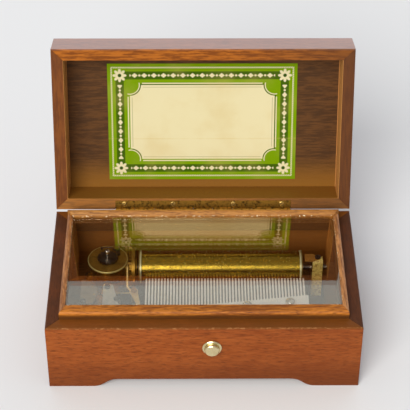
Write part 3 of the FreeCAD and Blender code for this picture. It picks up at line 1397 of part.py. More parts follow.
def make_stop_lever():
    """Plate lever with an eye, a tail and the long bar behind the button, and its bent stop finger."""
    plate = doc.addObject("PartDesign::Body", "lever_plate")
    eye = circles(plate, "XY_Plane", [("lever_x", "lever_y", "lever_eye")], "lever_z")
    pad(plate, eye, "lever_thickness")
    plan = outline(plate, "XY_Plane", [
        ("lever_x - lever_width", "lever_y - lever_eye / 4"),
        ("lever_x + lever_tail - lever_width", "lever_y - 4 * lever_eye"),
        ("lever_x + lever_tail - lever_width", "stop_bar_y"),
        ("button_shift + stem_radius + lever_thickness", "stop_bar_y"),
        ("button_shift + stem_radius + lever_thickness", "stop_bar_y + stop_bar_width"),
        ("lever_x + lever_tail", "stop_bar_y + stop_bar_width"),
        ("lever_x + lever_tail", "lever_y - 4 * lever_eye"),
        ("lever_x + lever_width", "lever_y - lever_eye / 4"),
    ], "lever_z")
    pad(plate, plan, "lever_thickness")
    bore = circles(plate, "XY_Plane", [("lever_x", "lever_y", "lever_pivot + running_clearance")])
    pocket(plate, bore)
    finger_x = "(wheel_tip - finger_offset)"
    top = "cylinder_z + finger_rise"
    middle = "lever_z + lever_thickness / 2"
    spots = [
        point("lever_x - lever_eye * 0.75", "lever_y + lever_eye / 4", middle),
        point(finger_x, "lever_y + lever_eye", "lever_z + 2 * lever_thickness"),
        point(finger_x, "cylinder_y - arm_height * 0.75", top),
        point(finger_x, "cylinder_y - lever_pivot", top),
        point("boss_end", "cylinder_y - lever_pivot", top),
    ]
    finger = rod(spots, value("stop_wire"))
    wire = rod([point("lever_x - lever_eye / 2", "lever_y - lever_eye / 2", middle),
                point("lever_x - 4 * lever_eye", "lever_y - lever_eye / 2", middle)], value("fan_wire"))
    doc.recompute()
    shape = plate.Shape.fuse([finger, wire]).removeSplitter()
    new_shape("stop_lever", shape)
    post = new_body("lever_post")
    turned(post, [
        ("0", "bed_top"),
        ("lever_post_radius", "bed_top"),
        ("lever_post_radius", "lever_z - running_clearance"),
        ("lever_pivot", "lever_z - running_clearance"),
        ("lever_pivot", "lever_z + lever_thickness + running_clearance"),
        ("stud_head", "lever_z + lever_thickness + running_clearance"),
        ("stud_head", "lever_z + lever_thickness + stud_head_height"),
        ("0", "lever_z + lever_thickness + stud_head_height"),
    ])
    place(post, "lever_x", "lever_y")


def make_button_spring():
    """The button's return spring at the length that it has when the button is pushed."""
    wire = value("button_wire")
    spring = coil(value("(stem_radius + button_radius) / 2"), wire, 1.4 * wire, 2, BUTTON_SPRING_STEPS)
    lay = FreeCAD.Rotation(X_AXIS, 90)
    start = point("button_shift", "-case_y + case_wall - bush_web - button_wire / 2", "button_height")
    new_shape("button_spring", spring, FreeCAD.Placement(start, lay))


def check_and_write():
    doc.recompute()
    for item in doc.Objects:
        if "Invalid" in item.State or "Error" in item.State:
            raise RuntimeError("%s failed: %s" % (item.Label, item.State))
    for item in sub_parts:
        if item.Shape.isNull() or not item.Shape.isValid():
            raise RuntimeError("%s has no valid shape" % item.Label)
    os.makedirs("parts", exist_ok=True)
    for item in sub_parts:
        item.Shape.exportStep("parts/%s.step" % item.Label)
    print("%d sub-parts written" % len(sub_parts))


fill_sheet()
make_case_walls()
make_floor()
make_frame()
make_glass()
make_hinge()
make_lid_walls()
make_lid_panel()
make_label()
make_button()
make_button_spring()
make_bedplate()
make_comb()
make_comb_base()
make_comb_screws()
make_tuning_leads()
make_cylinder_group()
make_pillar()
make_finger()
make_left_bracket()
make_bridge()
make_barrel()
make_mainspring()
make_winding()
make_key()
make_click()
make_click_spring()
make_governor_frame()
make_governor_plates()
make_governor_wheels()
make_endless_screw()
make_stop_lever()
check_and_write()
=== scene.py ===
import json
import math
from collections import namedtuple

import bmesh
import bpy
from mathutils import Matrix, Vector


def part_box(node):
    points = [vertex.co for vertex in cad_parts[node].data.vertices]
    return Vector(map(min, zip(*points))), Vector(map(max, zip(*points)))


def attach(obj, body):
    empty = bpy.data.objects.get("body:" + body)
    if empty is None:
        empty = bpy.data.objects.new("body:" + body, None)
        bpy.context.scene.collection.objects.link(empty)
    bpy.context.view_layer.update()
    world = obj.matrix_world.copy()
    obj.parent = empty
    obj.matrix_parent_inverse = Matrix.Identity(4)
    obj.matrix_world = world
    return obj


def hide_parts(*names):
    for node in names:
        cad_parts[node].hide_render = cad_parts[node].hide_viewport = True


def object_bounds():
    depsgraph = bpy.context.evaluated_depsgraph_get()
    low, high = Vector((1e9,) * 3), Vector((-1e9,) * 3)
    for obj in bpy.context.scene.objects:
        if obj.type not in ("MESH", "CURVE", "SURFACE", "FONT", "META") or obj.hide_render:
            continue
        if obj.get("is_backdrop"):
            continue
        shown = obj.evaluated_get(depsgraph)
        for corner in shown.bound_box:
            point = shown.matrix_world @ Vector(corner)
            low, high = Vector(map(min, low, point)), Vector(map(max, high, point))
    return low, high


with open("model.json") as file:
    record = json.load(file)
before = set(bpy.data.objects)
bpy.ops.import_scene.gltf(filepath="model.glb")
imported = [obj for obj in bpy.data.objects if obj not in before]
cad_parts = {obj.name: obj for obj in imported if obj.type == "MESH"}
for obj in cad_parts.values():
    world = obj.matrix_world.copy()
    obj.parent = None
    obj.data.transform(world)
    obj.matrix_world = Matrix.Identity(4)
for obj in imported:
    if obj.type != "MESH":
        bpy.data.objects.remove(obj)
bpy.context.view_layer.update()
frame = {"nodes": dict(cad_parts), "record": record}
nodes = frame["nodes"]

# Studio
# A pale seamless table top under an even sky that is brighter behind the box, one wide soft lamp
# from the front left, and the camera in front, forty degrees up, with a long lens.

bpy.context.scene.view_settings.view_transform = "Standard"

CAMERA_PLACE = Vector((-0.00576, -0.66122, 0.65068))
CAMERA_YAW = 0.00968
CAMERA_PITCH = 0.69991
CAMERA_ROLL = 0.00412
FOCAL_PIXELS = 1536.94
PICTURE_WIDTH = 410

ahead = Vector((math.sin(CAMERA_YAW) * math.cos(CAMERA_PITCH),
                math.cos(CAMERA_YAW) * math.cos(CAMERA_PITCH), -math.sin(CAMERA_PITCH)))
level = Vector((math.cos(CAMERA_YAW), -math.sin(CAMERA_YAW), 0))
upright = level.cross(ahead)
right = math.cos(CAMERA_ROLL) * level + math.sin(CAMERA_ROLL) * upright
up = math.cos(CAMERA_ROLL) * upright - math.sin(CAMERA_ROLL) * level
camera_data = bpy.data.cameras.new("camera")
camera = bpy.data.objects.new("camera", camera_data)
bpy.context.scene.collection.objects.link(camera)
camera.matrix_world = (Matrix.Translation(CAMERA_PLACE)
                       @ Matrix((right, up, -ahead)).transposed().to_4x4())
camera_data.lens = FOCAL_PIXELS * camera_data.sensor_width / PICTURE_WIDTH
bpy.context.scene.camera = camera


def tint(red, green, blue):
    """A colour as it shows on a screen, 0 to 255, in the linear numbers that shaders take."""
    def linear(part):
        part /= 255
        return part / 12.92 if part <= 0.04045 else ((part + 0.055) / 1.055) ** 2.4
    return linear(red), linear(green), linear(blue), 1.0


class Wire:
    """An output of a node. Python's own signs add Math nodes behind it."""

    def __init__(self, net, socket):
        self.net = net
        self.socket = socket

    def maths(self, operation, *values):
        return self.net.node("ShaderNodeMath", {"operation": operation}, dict(enumerate(values)))

    def __add__(self, other):
        return self.maths("ADD", self, other)

    def __radd__(self, other):
        return self.maths("ADD", other, self)

    def __sub__(self, other):
        return self.maths("SUBTRACT", self, other)

    def __rsub__(self, other):
        return self.maths("SUBTRACT", other, self)

    def __mul__(self, other):
        return self.maths("MULTIPLY", self, other)

    def __rmul__(self, other):
        return self.maths("MULTIPLY", other, self)

    def __abs__(self):
        return self.maths("ABSOLUTE", self)


class Net:
    """The nodes of a material, a world or a modifier, each made by one call."""

    def __init__(self, tree):
        self.tree = tree

    def node(self, kind, settings=None, sockets=None, output=0):
        made = self.tree.nodes.new(kind)
        for name, setting in (settings or {}).items():
            setattr(made, name, setting)
        for name, given in (sockets or {}).items():
            if isinstance(given, Wire):
                self.tree.links.new(given.socket, made.inputs[name])
            else:
                made.inputs[name].default_value = given
        return Wire(self, made.outputs[output]) if made.outputs else made

    def step(self, value, low, high):
        """From 0 to 1 as the value goes from low to high, or the other way when low is above high."""
        return self.node("ShaderNodeMapRange", {"interpolation_type": "SMOOTHSTEP"},
                         {"Value": value, "From Min": low, "From Max": high})

    def mixed(self, share, first, second):
        return self.node("ShaderNodeMix", {"data_type": "RGBA"}, {0: share, 6: first, 7: second}, 2)


class Finish(Net):
    """A material with one principled surface, worked from the piece's own coordinates."""

    def __init__(self, name):
        self.material = bpy.data.materials.new(name)
        self.material.use_nodes = True
        super().__init__(self.material.node_tree)
        self.surface = self.tree.nodes["Principled BSDF"]

    def give(self, sockets):
        for name, given in sockets.items():
            if isinstance(given, Wire):
                self.tree.links.new(given.socket, self.surface.inputs[name])
            else:
                self.surface.inputs[name].default_value = given

    def stain(self, share, colour):
        """Lay a colour over the base colour that the finish has so far, by a share from 0 to 1."""
        base = Wire(self, self.surface.inputs["Base Color"].links[0].from_socket)
        self.give({"Base Color": self.mixed(share, base, colour)})

    def place(self, middle=(0, 0, 0), turn=(0, 0, 0)):
        """Coordinates measured from a point of the piece, along axes turned with it."""
        own = self.node("ShaderNodeTexCoord", output="Object")
        return self.node("ShaderNodeMapping", {"vector_type": "TEXTURE"},
                         {"Vector": own, "Location": middle, "Rotation": turn})

    def part(self, place, axis):
        return self.node("ShaderNodeSeparateXYZ", None, {"Vector": place}, axis)

    def parts(self, place, count=3):
        return [self.part(place, axis) for axis in range(count)]

    def noise(self, place, stretch, detail=2.0, roughness=0.5):
        """Noise from 0 to 1 with so many waves to the metre along each axis."""
        spread = self.node("ShaderNodeVectorMath", {"operation": "MULTIPLY"}, {0: place, 1: stretch})
        return self.node("ShaderNodeTexNoise", None,
                         {"Vector": spread, "Scale": 1.0, "Detail": detail, "Roughness": roughness})

    def relief(self, height, depth):
        """A normal from a height of 0 to 1 that stands for a depth in metres."""
        self.give({"Normal": self.node("ShaderNodeBump", None, {"Height": height, "Distance": depth})})


TABLE_REACH = 4.0
TABLE_TINT = tint(231, 230, 228)
SKY_ROUND = tint(184, 183, 182)
SKY_BEHIND = tint(206, 222, 247)
SKY_GLOW = (1.5, 1.56, 1.62, 1.0)
BEHIND_STARTS, BEHIND_FULL = 0.25, 0.75
GLOW_STARTS, GLOW_FULL = 0.6, 0.9
GLOW_HIGHEST, GLOW_FULL_BELOW = 0.5, 0.2
SUN_WAY = Vector((-0.34, -0.84, 0.66))
SUN_WIDTH = math.radians(40)
SUN_STRENGTH = 2.7

table_mesh = bpy.data.meshes.new("table_top")
corners = [(x * TABLE_REACH, y * TABLE_REACH, 0.0) for x, y in ((-1, -1), (1, -1), (1, 1), (-1, 1))]
table_mesh.from_pydata(corners, [], [(0, 1, 2, 3)])
table = bpy.data.objects.new("table_top", table_mesh)
bpy.context.scene.collection.objects.link(table)
table_finish = Finish("table_paper")
table_finish.give({"Base Color": TABLE_TINT, "Roughness": 0.9, "Specular IOR Level": 0.1})
table_mesh.materials.append(table_finish.material)
table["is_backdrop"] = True

world = bpy.data.worlds.new("sky")
world.use_nodes = True
bpy.context.scene.world = world
world.node_tree.nodes.clear()
sky = Net(world.node_tree)
heading = sky.node("ShaderNodeTexCoord", output="Generated")
behind = sky.node("ShaderNodeSeparateXYZ", None, {"Vector": heading}, 1)
elevation = sky.node("ShaderNodeSeparateXYZ", None, {"Vector": heading}, 2)
sky_colour = sky.mixed(sky.step(behind, BEHIND_STARTS, BEHIND_FULL), SKY_ROUND, SKY_BEHIND)
glow = sky.step(behind, GLOW_STARTS, GLOW_FULL) * sky.step(elevation, GLOW_HIGHEST, GLOW_FULL_BELOW)
sky_colour = sky.mixed(glow, sky_colour, SKY_GLOW)
sky.node("ShaderNodeOutputWorld", None,
         {"Surface": sky.node("ShaderNodeBackground", None, {"Color": sky_colour, "Strength": 1.0})})

lamp_data = bpy.data.lights.new("front_left_lamp", "SUN")
lamp_data.energy = SUN_STRENGTH
lamp_data.angle = SUN_WIDTH
lamp = bpy.data.objects.new("front_left_lamp", lamp_data)
bpy.context.scene.collection.objects.link(lamp)
lamp.rotation_euler = SUN_WAY.to_track_quat("Z", "Y").to_euler()

# Case walls
# Four mitred boards of reddish brown hardwood, stained and waxed, with an arch cut under each.
# Their tops are darker, in patches. Painted shade darkens the boards towards the foot and the right, and the
# front top edge is rubbed pale in patches that also paint its highlight.

CASE_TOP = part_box("case_front")[1].z
CASE_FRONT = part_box("case_front")[0].y
CASE_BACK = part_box("case_back")[1].y
CASE_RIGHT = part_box("case_right")[1].x
CASE_INNER_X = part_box("frame_right")[1].x
CASE_INNER_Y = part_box("frame_back")[1].y
CASE_EASE = 0.00025
GRAIN_ALONG_X = (0, 0, 0)
GRAIN_ALONG_Y = (0, 0, math.pi / 2)
FIGURE_WAVES = (9, 60, 60)
STREAK_WAVES = (110, 800, 800)
PORE_WAVES = (240, 1500, 1500)
FIGURE_SHARE = 0.35
PORES_START, PORES_FULL = 0.54, 0.66
PORE_DARKNESS = 0.4
PORE_SHARE = 0.5
STREAK_ROUGHNESS = 0.14
PORE_SINK, STREAK_SINK = 0.6, 0.4
GRAIN_DEPTH = 0.00006
MERGE_REACH = 1e-6
FLAT_ANGLE = math.radians(0.4)
EDGE_ANGLE = math.radians(35)


def wood(name, pale, deep, turn, middle=(0, 0, 0), gloss=0.42, specular=0.12, contrast=0.16):
    """Stained hardwood whose grain runs along the turned X axis."""
    finish = Finish(name)
    place = finish.place(middle, turn)
    figure = finish.noise(place, FIGURE_WAVES, detail=3.0)
    streaks = finish.noise(place, STREAK_WAVES, detail=3.0, roughness=0.7)
    pores = finish.step(finish.noise(place, PORE_WAVES), PORES_START, PORES_FULL)
    mingled = figure * FIGURE_SHARE + streaks * (1 - FIGURE_SHARE)
    grain = finish.step(mingled, 0.5 - contrast, 0.5 + contrast)
    finish.give({"Base Color": finish.mixed(grain, pale, deep)})
    finish.stain(pores * PORE_SHARE, tuple(channel * PORE_DARKNESS for channel in deep[:3]) + (1.0,))
    finish.give({"Roughness": gloss + streaks * STREAK_ROUGHNESS, "Specular IOR Level": specular})
    finish.relief(1 - pores * PORE_SINK - streaks * STREAK_SINK, GRAIN_DEPTH)
    return finish


def settled(draft, name, finish, body, slot, *stands_for):
    """Turn a draft and its modifiers into a plain mesh that rides on a body."""
    evaluated = draft.evaluated_get(bpy.context.evaluated_depsgraph_get())
    mesh = bpy.data.meshes.new_from_object(evaluated)
    bpy.data.objects.remove(draft)
    mesh.materials.clear()
    mesh.materials.append(finish.material)
    piece = bpy.data.objects.new(name, mesh)
    bpy.context.scene.collection.objects.link(piece)
    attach(piece, body)
    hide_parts(*stands_for)
    return piece


def eased(node, finish, body, slot, ease, drill=None, lift=None):
    """A copy of a CAD piece, lifted or drilled, with its edges eased and its flat faces kept flat."""
    shape = bmesh.new()
    shape.from_mesh(nodes[node].data)
    bmesh.ops.remove_doubles(shape, verts=shape.verts, dist=MERGE_REACH)
    bmesh.ops.dissolve_limit(shape, angle_limit=FLAT_ANGLE, verts=shape.verts, edges=shape.edges)
    if lift:
        for vert in shape.verts:
            vert.co.z += lift(vert.co)
    mesh = bpy.data.meshes.new(node + "_draft")
    shape.to_mesh(mesh)
    shape.free()
    mesh.shade_smooth()
    draft = bpy.data.objects.new(node + "_draft", mesh)
    bpy.context.scene.collection.objects.link(draft)
    if drill:
        drilled = draft.modifiers.new("drill", "BOOLEAN")
        drilled.object = drill
        drilled.solver = "EXACT"
    bevel = draft.modifiers.new("ease", "BEVEL")
    bevel.width = ease
    bevel.segments = 2
    bevel.limit_method = "ANGLE"
    bevel.angle_limit = EDGE_ANGLE
    flat = draft.modifiers.new("flat", "WEIGHTED_NORMAL")
    flat.weight = 100
    return settled(draft, node + "_finished", finish, body, slot, node)


CASE_PALE = tint(160, 84, 34)
CASE_DEEP = tint(134, 64, 22)
# The colour of the painted shade towards the foot and towards the right.
CASE_PAINTED_SHADE_TINT = tint(92, 44, 18)
CASE_TOP_TINT = tint(108, 62, 18)
CASE_INSIDE_TINT = tint(168, 106, 34)
SIDE_INSIDE_TINT = tint(112, 78, 42)
SIDE_TOP_TINT = tint(62, 38, 22)
EDGE_WEAR_AND_HIGHLIGHT_TINT = tint(204, 146, 92)
PATCH_WAVES = (60, 60, 60)
EDGE_PATCH_WAVES = (420, 900, 900)
EDGE_PATCHES_START, EDGE_PATCHES_FULL = 0.50, 0.64
INSIDE_STARTS, INSIDE_FULL = 0.0004, 0.0001
INSIDE_SHARE = 0.7
FOOT_SHADE_TOP = 0.0300
RIGHT_SHADE_STARTS, RIGHT_SHADE_FULL = -0.06, 0.09
FOOT_SHADE_SHARE, RIGHT_SHADE_SHARE = 0.6, 0.16
TOP_STARTS, TOP_FULL = 0.0012, 0.0003
TOP_SHARE, TOP_PATCHES = 0.55, 0.5
EDGE_STARTS, EDGE_FULL = 0.0010, 0.0006
EDGE_WEAR_AND_HIGHLIGHT_SHARE = 0.35
for side, turn, inside_tint, top_tint in (
        ("front", GRAIN_ALONG_X, CASE_INSIDE_TINT, CASE_TOP_TINT),
        ("back", GRAIN_ALONG_X, CASE_INSIDE_TINT, CASE_TOP_TINT),
        ("left", GRAIN_ALONG_Y, SIDE_INSIDE_TINT, SIDE_TOP_TINT),
        ("right", GRAIN_ALONG_Y, SIDE_INSIDE_TINT, SIDE_TOP_TINT)):
    board = wood("case_board_" + side, CASE_PALE, CASE_DEEP, turn)
    own = board.place()
    across, away, height = board.parts(own)
    inside = (board.step(abs(across), CASE_INNER_X + INSIDE_STARTS, CASE_INNER_X + INSIDE_FULL)
              * board.step(abs(away), CASE_INNER_Y + INSIDE_STARTS, CASE_INNER_Y + INSIDE_FULL))
    board.stain(inside * INSIDE_SHARE, inside_tint)
    # Painted shade: the boards are darkened towards the foot and towards the right, where less light falls.
    shade_by_feet = board.step(height, FOOT_SHADE_TOP, 0.0)
    shade_to_right = board.step(across, RIGHT_SHADE_STARTS, RIGHT_SHADE_FULL)
    board.stain(shade_by_feet * FOOT_SHADE_SHARE + shade_to_right * RIGHT_SHADE_SHARE, CASE_PAINTED_SHADE_TINT)
    on_top = board.step(height, CASE_TOP - TOP_STARTS, CASE_TOP - TOP_FULL)
    patches = board.noise(own, PATCH_WAVES, detail=4.0)
    board.stain(on_top * (TOP_SHARE + patches * TOP_PATCHES), top_tint)
    # The front top edge is rubbed pale in patches, and the same pale strip also paints the edge's highlight.
    front_edge = CASE_TOP - CASE_FRONT
    by_edge = board.step(height - away, front_edge - EDGE_STARTS, front_edge - EDGE_FULL)
    edge_wear_and_highlight = board.step(board.noise(own, EDGE_PATCH_WAVES, detail=4.0, roughness=0.7), EDGE_PATCHES_START, EDGE_PATCHES_FULL)
    board.stain(by_edge * edge_wear_and_highlight * EDGE_WEAR_AND_HIGHLIGHT_SHARE, EDGE_WEAR_AND_HIGHLIGHT_TINT)
    eased("case_" + side, board, "case", "case_wood", CASE_EASE)

# Floor panel
# A thin plain board let into a groove round the case. Four slotted steel screws go up through it
# from below into the bedplate.

FLOOR_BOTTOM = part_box("floor_panel")[0].z
FLOOR_EASE = 0.0002
floor_board = wood("floor_board", tint(150, 104, 56), tint(116, 76, 38), GRAIN_ALONG_X, gloss=0.6)
eased("floor_panel", floor_board, "case", "floor_board", FLOOR_EASE)

SCRATCH_DEPTH = 0.00001
CLOUDS_START, CLOUDS_FULL = 0.42, 0.70
SCRATCH_ROUGHNESS, CLOUD_ROUGHNESS = 0.12, 0.08


def metal(name, colour, stain, roughness, brushed=(300, 300, 300), stain_share=0.5, cloud=160, bare=1.0):
    """Metal with a cloudy tarnish and fine scratches, so bare from 0, all skin, to 1, none."""
    finish = Finish(name)
    place = finish.place()
    clouds = finish.noise(place, (cloud, cloud, cloud), detail=4.0, roughness=0.6)
    clouds = finish.step(clouds, CLOUDS_START, CLOUDS_FULL)
    scratches = finish.noise(place, brushed, detail=3.0, roughness=0.7)
    finish.give({
        "Base Color": finish.mixed(clouds * stain_share, colour, stain),
        "Metallic": bare,
        "Roughness": (roughness - SCRATCH_ROUGHNESS / 2 + scratches * SCRATCH_ROUGHNESS
                      + clouds * CLOUD_ROUGHNESS),
    })
    finish.relief(scratches, SCRATCH_DEPTH)
    return finish


Screw = namedtuple("Screw", "radius rise crown shank length")
CROWN_TURNS = (math.pi / 8, math.pi / 4, 3 * math.pi / 8)
SCREW_FACETS = 24
SLOT_WIDTH_SHARE = 0.34
SLOT_DEPTH_SHARE = 0.5


def screw_blank(name, screw):
    """A turned screw without its slot: a crowned head above z = 0 and a plain shank below."""
    shoulder = screw.rise - screw.crown
    profile = [(0, -screw.length), (screw.shank, -screw.length), (screw.shank, 0), (screw.radius, 0),
               (screw.radius, shoulder)]
    profile += [(screw.radius * math.cos(turn), shoulder + screw.crown * math.sin(turn))
                for turn in CROWN_TURNS]
    profile.append((0, screw.rise))
    shape = bmesh.new()
    ring = [shape.verts.new((x, 0, z)) for x, z in profile]
    for first, second in zip(ring, ring[1:]):
        shape.edges.new((first, second))
    bmesh.ops.spin(shape, geom=shape.verts[:] + shape.edges[:], cent=(0, 0, 0), axis=(0, 0, 1),
                   angle=2 * math.pi, steps=SCREW_FACETS, use_merge=True)
    bmesh.ops.remove_doubles(shape, verts=shape.verts, dist=MERGE_REACH)
    bmesh.ops.recalc_face_normals(shape, faces=shape.faces)
    mesh = bpy.data.meshes.new(name)
    shape.to_mesh(mesh)
    shape.free()
    blank = bpy.data.objects.new(name, mesh)
    bpy.context.scene.collection.objects.link(blank)
    return blank


def new_tree(name, inputs):
    """A tree for a modifier, its named inputs, and the wires that they come in by."""
    tree = bpy.data.node_groups.new(name, "GeometryNodeTree")
    tree.interface.new_socket("Geometry", in_out="OUTPUT", socket_type="NodeSocketGeometry")
    tree.interface.new_socket("Geometry", in_out="INPUT", socket_type="NodeSocketGeometry")
    for label, kind in inputs:
        tree.interface.new_socket(label, in_out="INPUT", socket_type="NodeSocket" + kind)
    net = Net(tree)
    entry = tree.nodes.new("NodeGroupInput")
    return net, {socket.name: Wire(net, socket) for socket in entry.outputs if socket.name}


def end_tree(net, instances, material):
    """Close a tree with real faces that wear a material."""
    solid = net.node("GeometryNodeRealizeInstances", None, {"Geometry": instances})
    dressed = net.node("GeometryNodeSetMaterial", None, {"Geometry": solid, "Material": material})
    net.node("NodeGroupOutput", None, {"Geometry": dressed})


def fill(draft, net, settings):
    """Put a tree of nodes on a draft and set its named inputs."""
    modifier = draft.modifiers.new(net.tree.name, "NODES")
    modifier.node_group = net.tree
    for item in net.tree.interface.items_tree:
        if item.item_type == "SOCKET" and item.in_out == "INPUT" and item.name in settings:
            modifier[item.identifier] = settings[item.name]


screw_tree, given = new_tree("slotted_screws", (
    ("Blank", "Object"), ("Head width", "Float"), ("Head rise", "Float"), ("Slot width", "Float"),
    ("Slot depth", "Float"), ("Seed", "Int"), ("Finish", "Material")))
blank = screw_tree.node("GeometryNodeObjectInfo", None, {"Object": given["Blank"]}, "Geometry")
slot_size = screw_tree.node("ShaderNodeCombineXYZ", None,
                            {0: given["Head width"] * 2, 1: given["Slot width"], 2: given["Slot depth"] * 2})
slot = screw_tree.node("GeometryNodeMeshCube", None, {"Size": slot_size})
slot_place = screw_tree.node("ShaderNodeCombineXYZ", None, {2: given["Head rise"]})
slot = screw_tree.node("GeometryNodeTransform", None, {"Geometry": slot, "Translation": slot_place})
slotted = screw_tree.node("GeometryNodeMeshBoolean", {"operation": "DIFFERENCE", "solver": "EXACT"},
                          {"Mesh 1": blank, "Mesh 2": slot})
turn = screw_tree.node("FunctionNodeRandomValue", {"data_type": "FLOAT"},
                       {"Min": 0.0, "Max": math.pi, "Seed": given["Seed"]}, 1)
turn = screw_tree.node("ShaderNodeCombineXYZ", None, {2: turn})
screws = screw_tree.node("GeometryNodeInstanceOnPoints", None,
                         {"Points": given["Geometry"], "Instance": slotted, "Rotation": turn})
end_tree(screw_tree, screws, given["Finish"])


def screw_row(name, spots, screw, finish, body, slot_name, seed, stands_for=(), lay=Matrix.Identity(4)):
    """Slotted screws with their heads' undersides on the given spots, laid by a matrix."""
    blank = screw_blank(name + "_blank", screw)
    mesh = bpy.data.meshes.new(name + "_spots")
    mesh.from_pydata(spots, [], [])
    draft = bpy.data.objects.new(name + "_draft", mesh)
    bpy.context.scene.collection.objects.link(draft)
    fill(draft, screw_tree, {
        "Blank": blank, "Head width": screw.radius, "Head rise": screw.rise,
        "Slot width": screw.radius * SLOT_WIDTH_SHARE, "Slot depth": screw.rise * SLOT_DEPTH_SHARE,
        "Seed": seed, "Finish": finish.material})
    piece = settled(draft, name, finish, body, slot_name, *stands_for)
    piece.data.transform(lay)
    piece.data.shade_smooth()
    piece.data.set_sharp_from_angle(angle=EDGE_ANGLE)
    bpy.data.objects.remove(blank)
    return piece


bright_steel = metal("polished_steel", tint(222, 216, 204), tint(160, 148, 130), 0.2)
MOVEMENT_SCREW = Screw(radius=0.003, rise=0.0014, crown=0.0004, shank=0.00125, length=0.004)
MOVEMENT_SCREW_PLACES = [(x, y) for y in (-0.028, 0.026) for x in (-0.066, 0.0665)]
turned_over = Matrix.Rotation(math.pi, 4, "X")
screw_row("movement_screws", [turned_over @ Vector((x, y, FLOOR_BOTTOM)) for x, y in MOVEMENT_SCREW_PLACES],
          MOVEMENT_SCREW, bright_steel, "case", "bright_steel", seed=8, lay=turned_over)

# Bedplate
# A cast plate, ground flat and lacquered a dull gold, that carries the whole movement. The comb
# stands on a bar of the same casting.

CASTING_EASE = 0.0003
lacquer = metal("gold_lacquer", tint(74, 56, 34), tint(46, 34, 20), 0.46, stain_share=0.7, bare=0.5)
eased("bedplate", lacquer, "case", "bed_metal", CASTING_EASE)
eased("comb_base", lacquer, "case", "base_metal", CASTING_EASE)

# Barrel and winding work
# The toothed brass barrel turns under a round brass bridge, brown with age, on a cast bracket. A
# blackened ratchet and click sit on the bridge round the winding arbor, whose key is below.

TURNED_EASE = 0.0001
brass = metal("yellow_brass", tint(212, 164, 66), tint(128, 88, 30), 0.28)
aged_brass = metal("aged_brass", tint(176, 134, 50), tint(104, 76, 26), 0.34, stain_share=0.7, bare=0.85)
dark_steel = metal("blackened_steel", tint(84, 82, 80), tint(40, 38, 36), 0.36)
blued_steel = metal("blued_steel", tint(96, 98, 104), tint(60, 60, 66), 0.3)
for node, finish, body, slot in (
        ("barrel_drum", brass, "barrel", "brass"),
        ("barrel_cover", aged_brass, "barrel", "brass"),
        ("ratchet_wheel", dark_steel, "winding", "dark_steel"),
        ("click", dark_steel, "pawl", "dark_steel"),
        ("winding_arbor", bright_steel, "winding", "bright_steel"),
        ("winding_key", bright_steel, "winding", "bright_steel"),
        ("left_bracket", aged_brass, "case", "cast_brass"),
        ("click_spring", blued_steel, "case", "spring_steel")):
    eased(node, finish, body, slot, TURNED_EASE)
for coil_slot in nodes["mainspring"].material_slots:
    coil_slot.material = blued_steel.material

BRIDGE_LOW, BRIDGE_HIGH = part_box("barrel_bridge")
BRIDGE_RADIUS = (BRIDGE_HIGH.y - BRIDGE_LOW.y) / 2
BRIDGE_RIM_HIGHLIGHT_TINT = tint(255, 236, 150)
RIM_HIGHLIGHT_STARTS, RIM_HIGHLIGHT_FULL = 0.0007, 0.0002
bridge = metal("bridge_brass", tint(162, 122, 44), tint(106, 78, 28), 0.4, stain_share=0.8, bare=0.7)
sideways, endways = bridge.parts(bridge.place(((BRIDGE_LOW + BRIDGE_HIGH) / 2)[:]), 2)
reach = sideways.maths("SQRT", sideways * sideways + endways * endways)
# Painted highlight: a pale gold ring round the bridge's rim stands for the light caught by its edge.
painted_rim_highlight = bridge.step(reach, BRIDGE_RADIUS - RIM_HIGHLIGHT_STARTS, BRIDGE_RADIUS - RIM_HIGHLIGHT_FULL)
bridge.stain(painted_rim_highlight, BRIDGE_RIM_HIGHLIGHT_TINT)
eased("barrel_bridge", bridge, "case", "brass", CASTING_EASE)

# Cylinder
# A thin brass tube on two caps, set all round with short steel pins, and turned by a crown wheel
# on its arbor. A stepped cam moves it sideways from tune to tune.

CYLINDER_LOW, CYLINDER_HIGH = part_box("cylinder_tube")
CYLINDER_MIDDLE = (CYLINDER_LOW + CYLINDER_HIGH) / 2
CYLINDER_LENGTH = CYLINDER_HIGH.x - CYLINDER_LOW.x
CYLINDER_RADIUS = (CYLINDER_HIGH.z - CYLINDER_LOW.z) / 2
CYLINDER_FACETS = 72
CYLINDER_EASE = 0.00008
CAP_HIGHLIGHT_WIDTH = 0.0007
CAP_HIGHLIGHT_TINT = tint(240, 236, 186)

cylinder_brass = metal("lacquered_brass", tint(186, 158, 58), tint(140, 112, 32), 0.19,
                       stain_share=0.5, cloud=420)
cap_brass = metal("cap_brass", tint(140, 112, 48), tint(96, 74, 30), 0.3, stain_share=0.5, bare=0.5)
# Painted highlight: a pale ring round each cap's edge next to the tube.
beyond_tube = abs(cap_brass.part(cap_brass.place(CYLINDER_MIDDLE[:]), 0)) - CYLINDER_LENGTH / 2
painted_cap_highlight = cap_brass.step(abs(beyond_tube - CAP_HIGHLIGHT_WIDTH / 2), CAP_HIGHLIGHT_WIDTH, CAP_HIGHLIGHT_WIDTH / 2)
cap_brass.stain(painted_cap_highlight, CAP_HIGHLIGHT_TINT)
oiled_steel = metal("oiled_steel", tint(118, 106, 90), tint(70, 60, 48), 0.3)
for node, finish, body, slot in (
        ("cylinder_tube", cylinder_brass, "cylinder", "cylinder_brass"),
        ("cylinder_cap_left", cap_brass, "cylinder", "brass"),
        ("cylinder_cap_right", cap_brass, "cylinder", "brass"),
        ("cylinder_arbor", oiled_steel, "arbor", "bright_steel"),
        ("cylinder_wheel", aged_brass, "arbor", "cast_brass"),
        ("tune_cam", brass, "arbor", "brass"),
        ("shift_spring", blued_steel, "arbor", "spring_steel")):
    eased(node, finish, body, slot, CYLINDER_EASE)

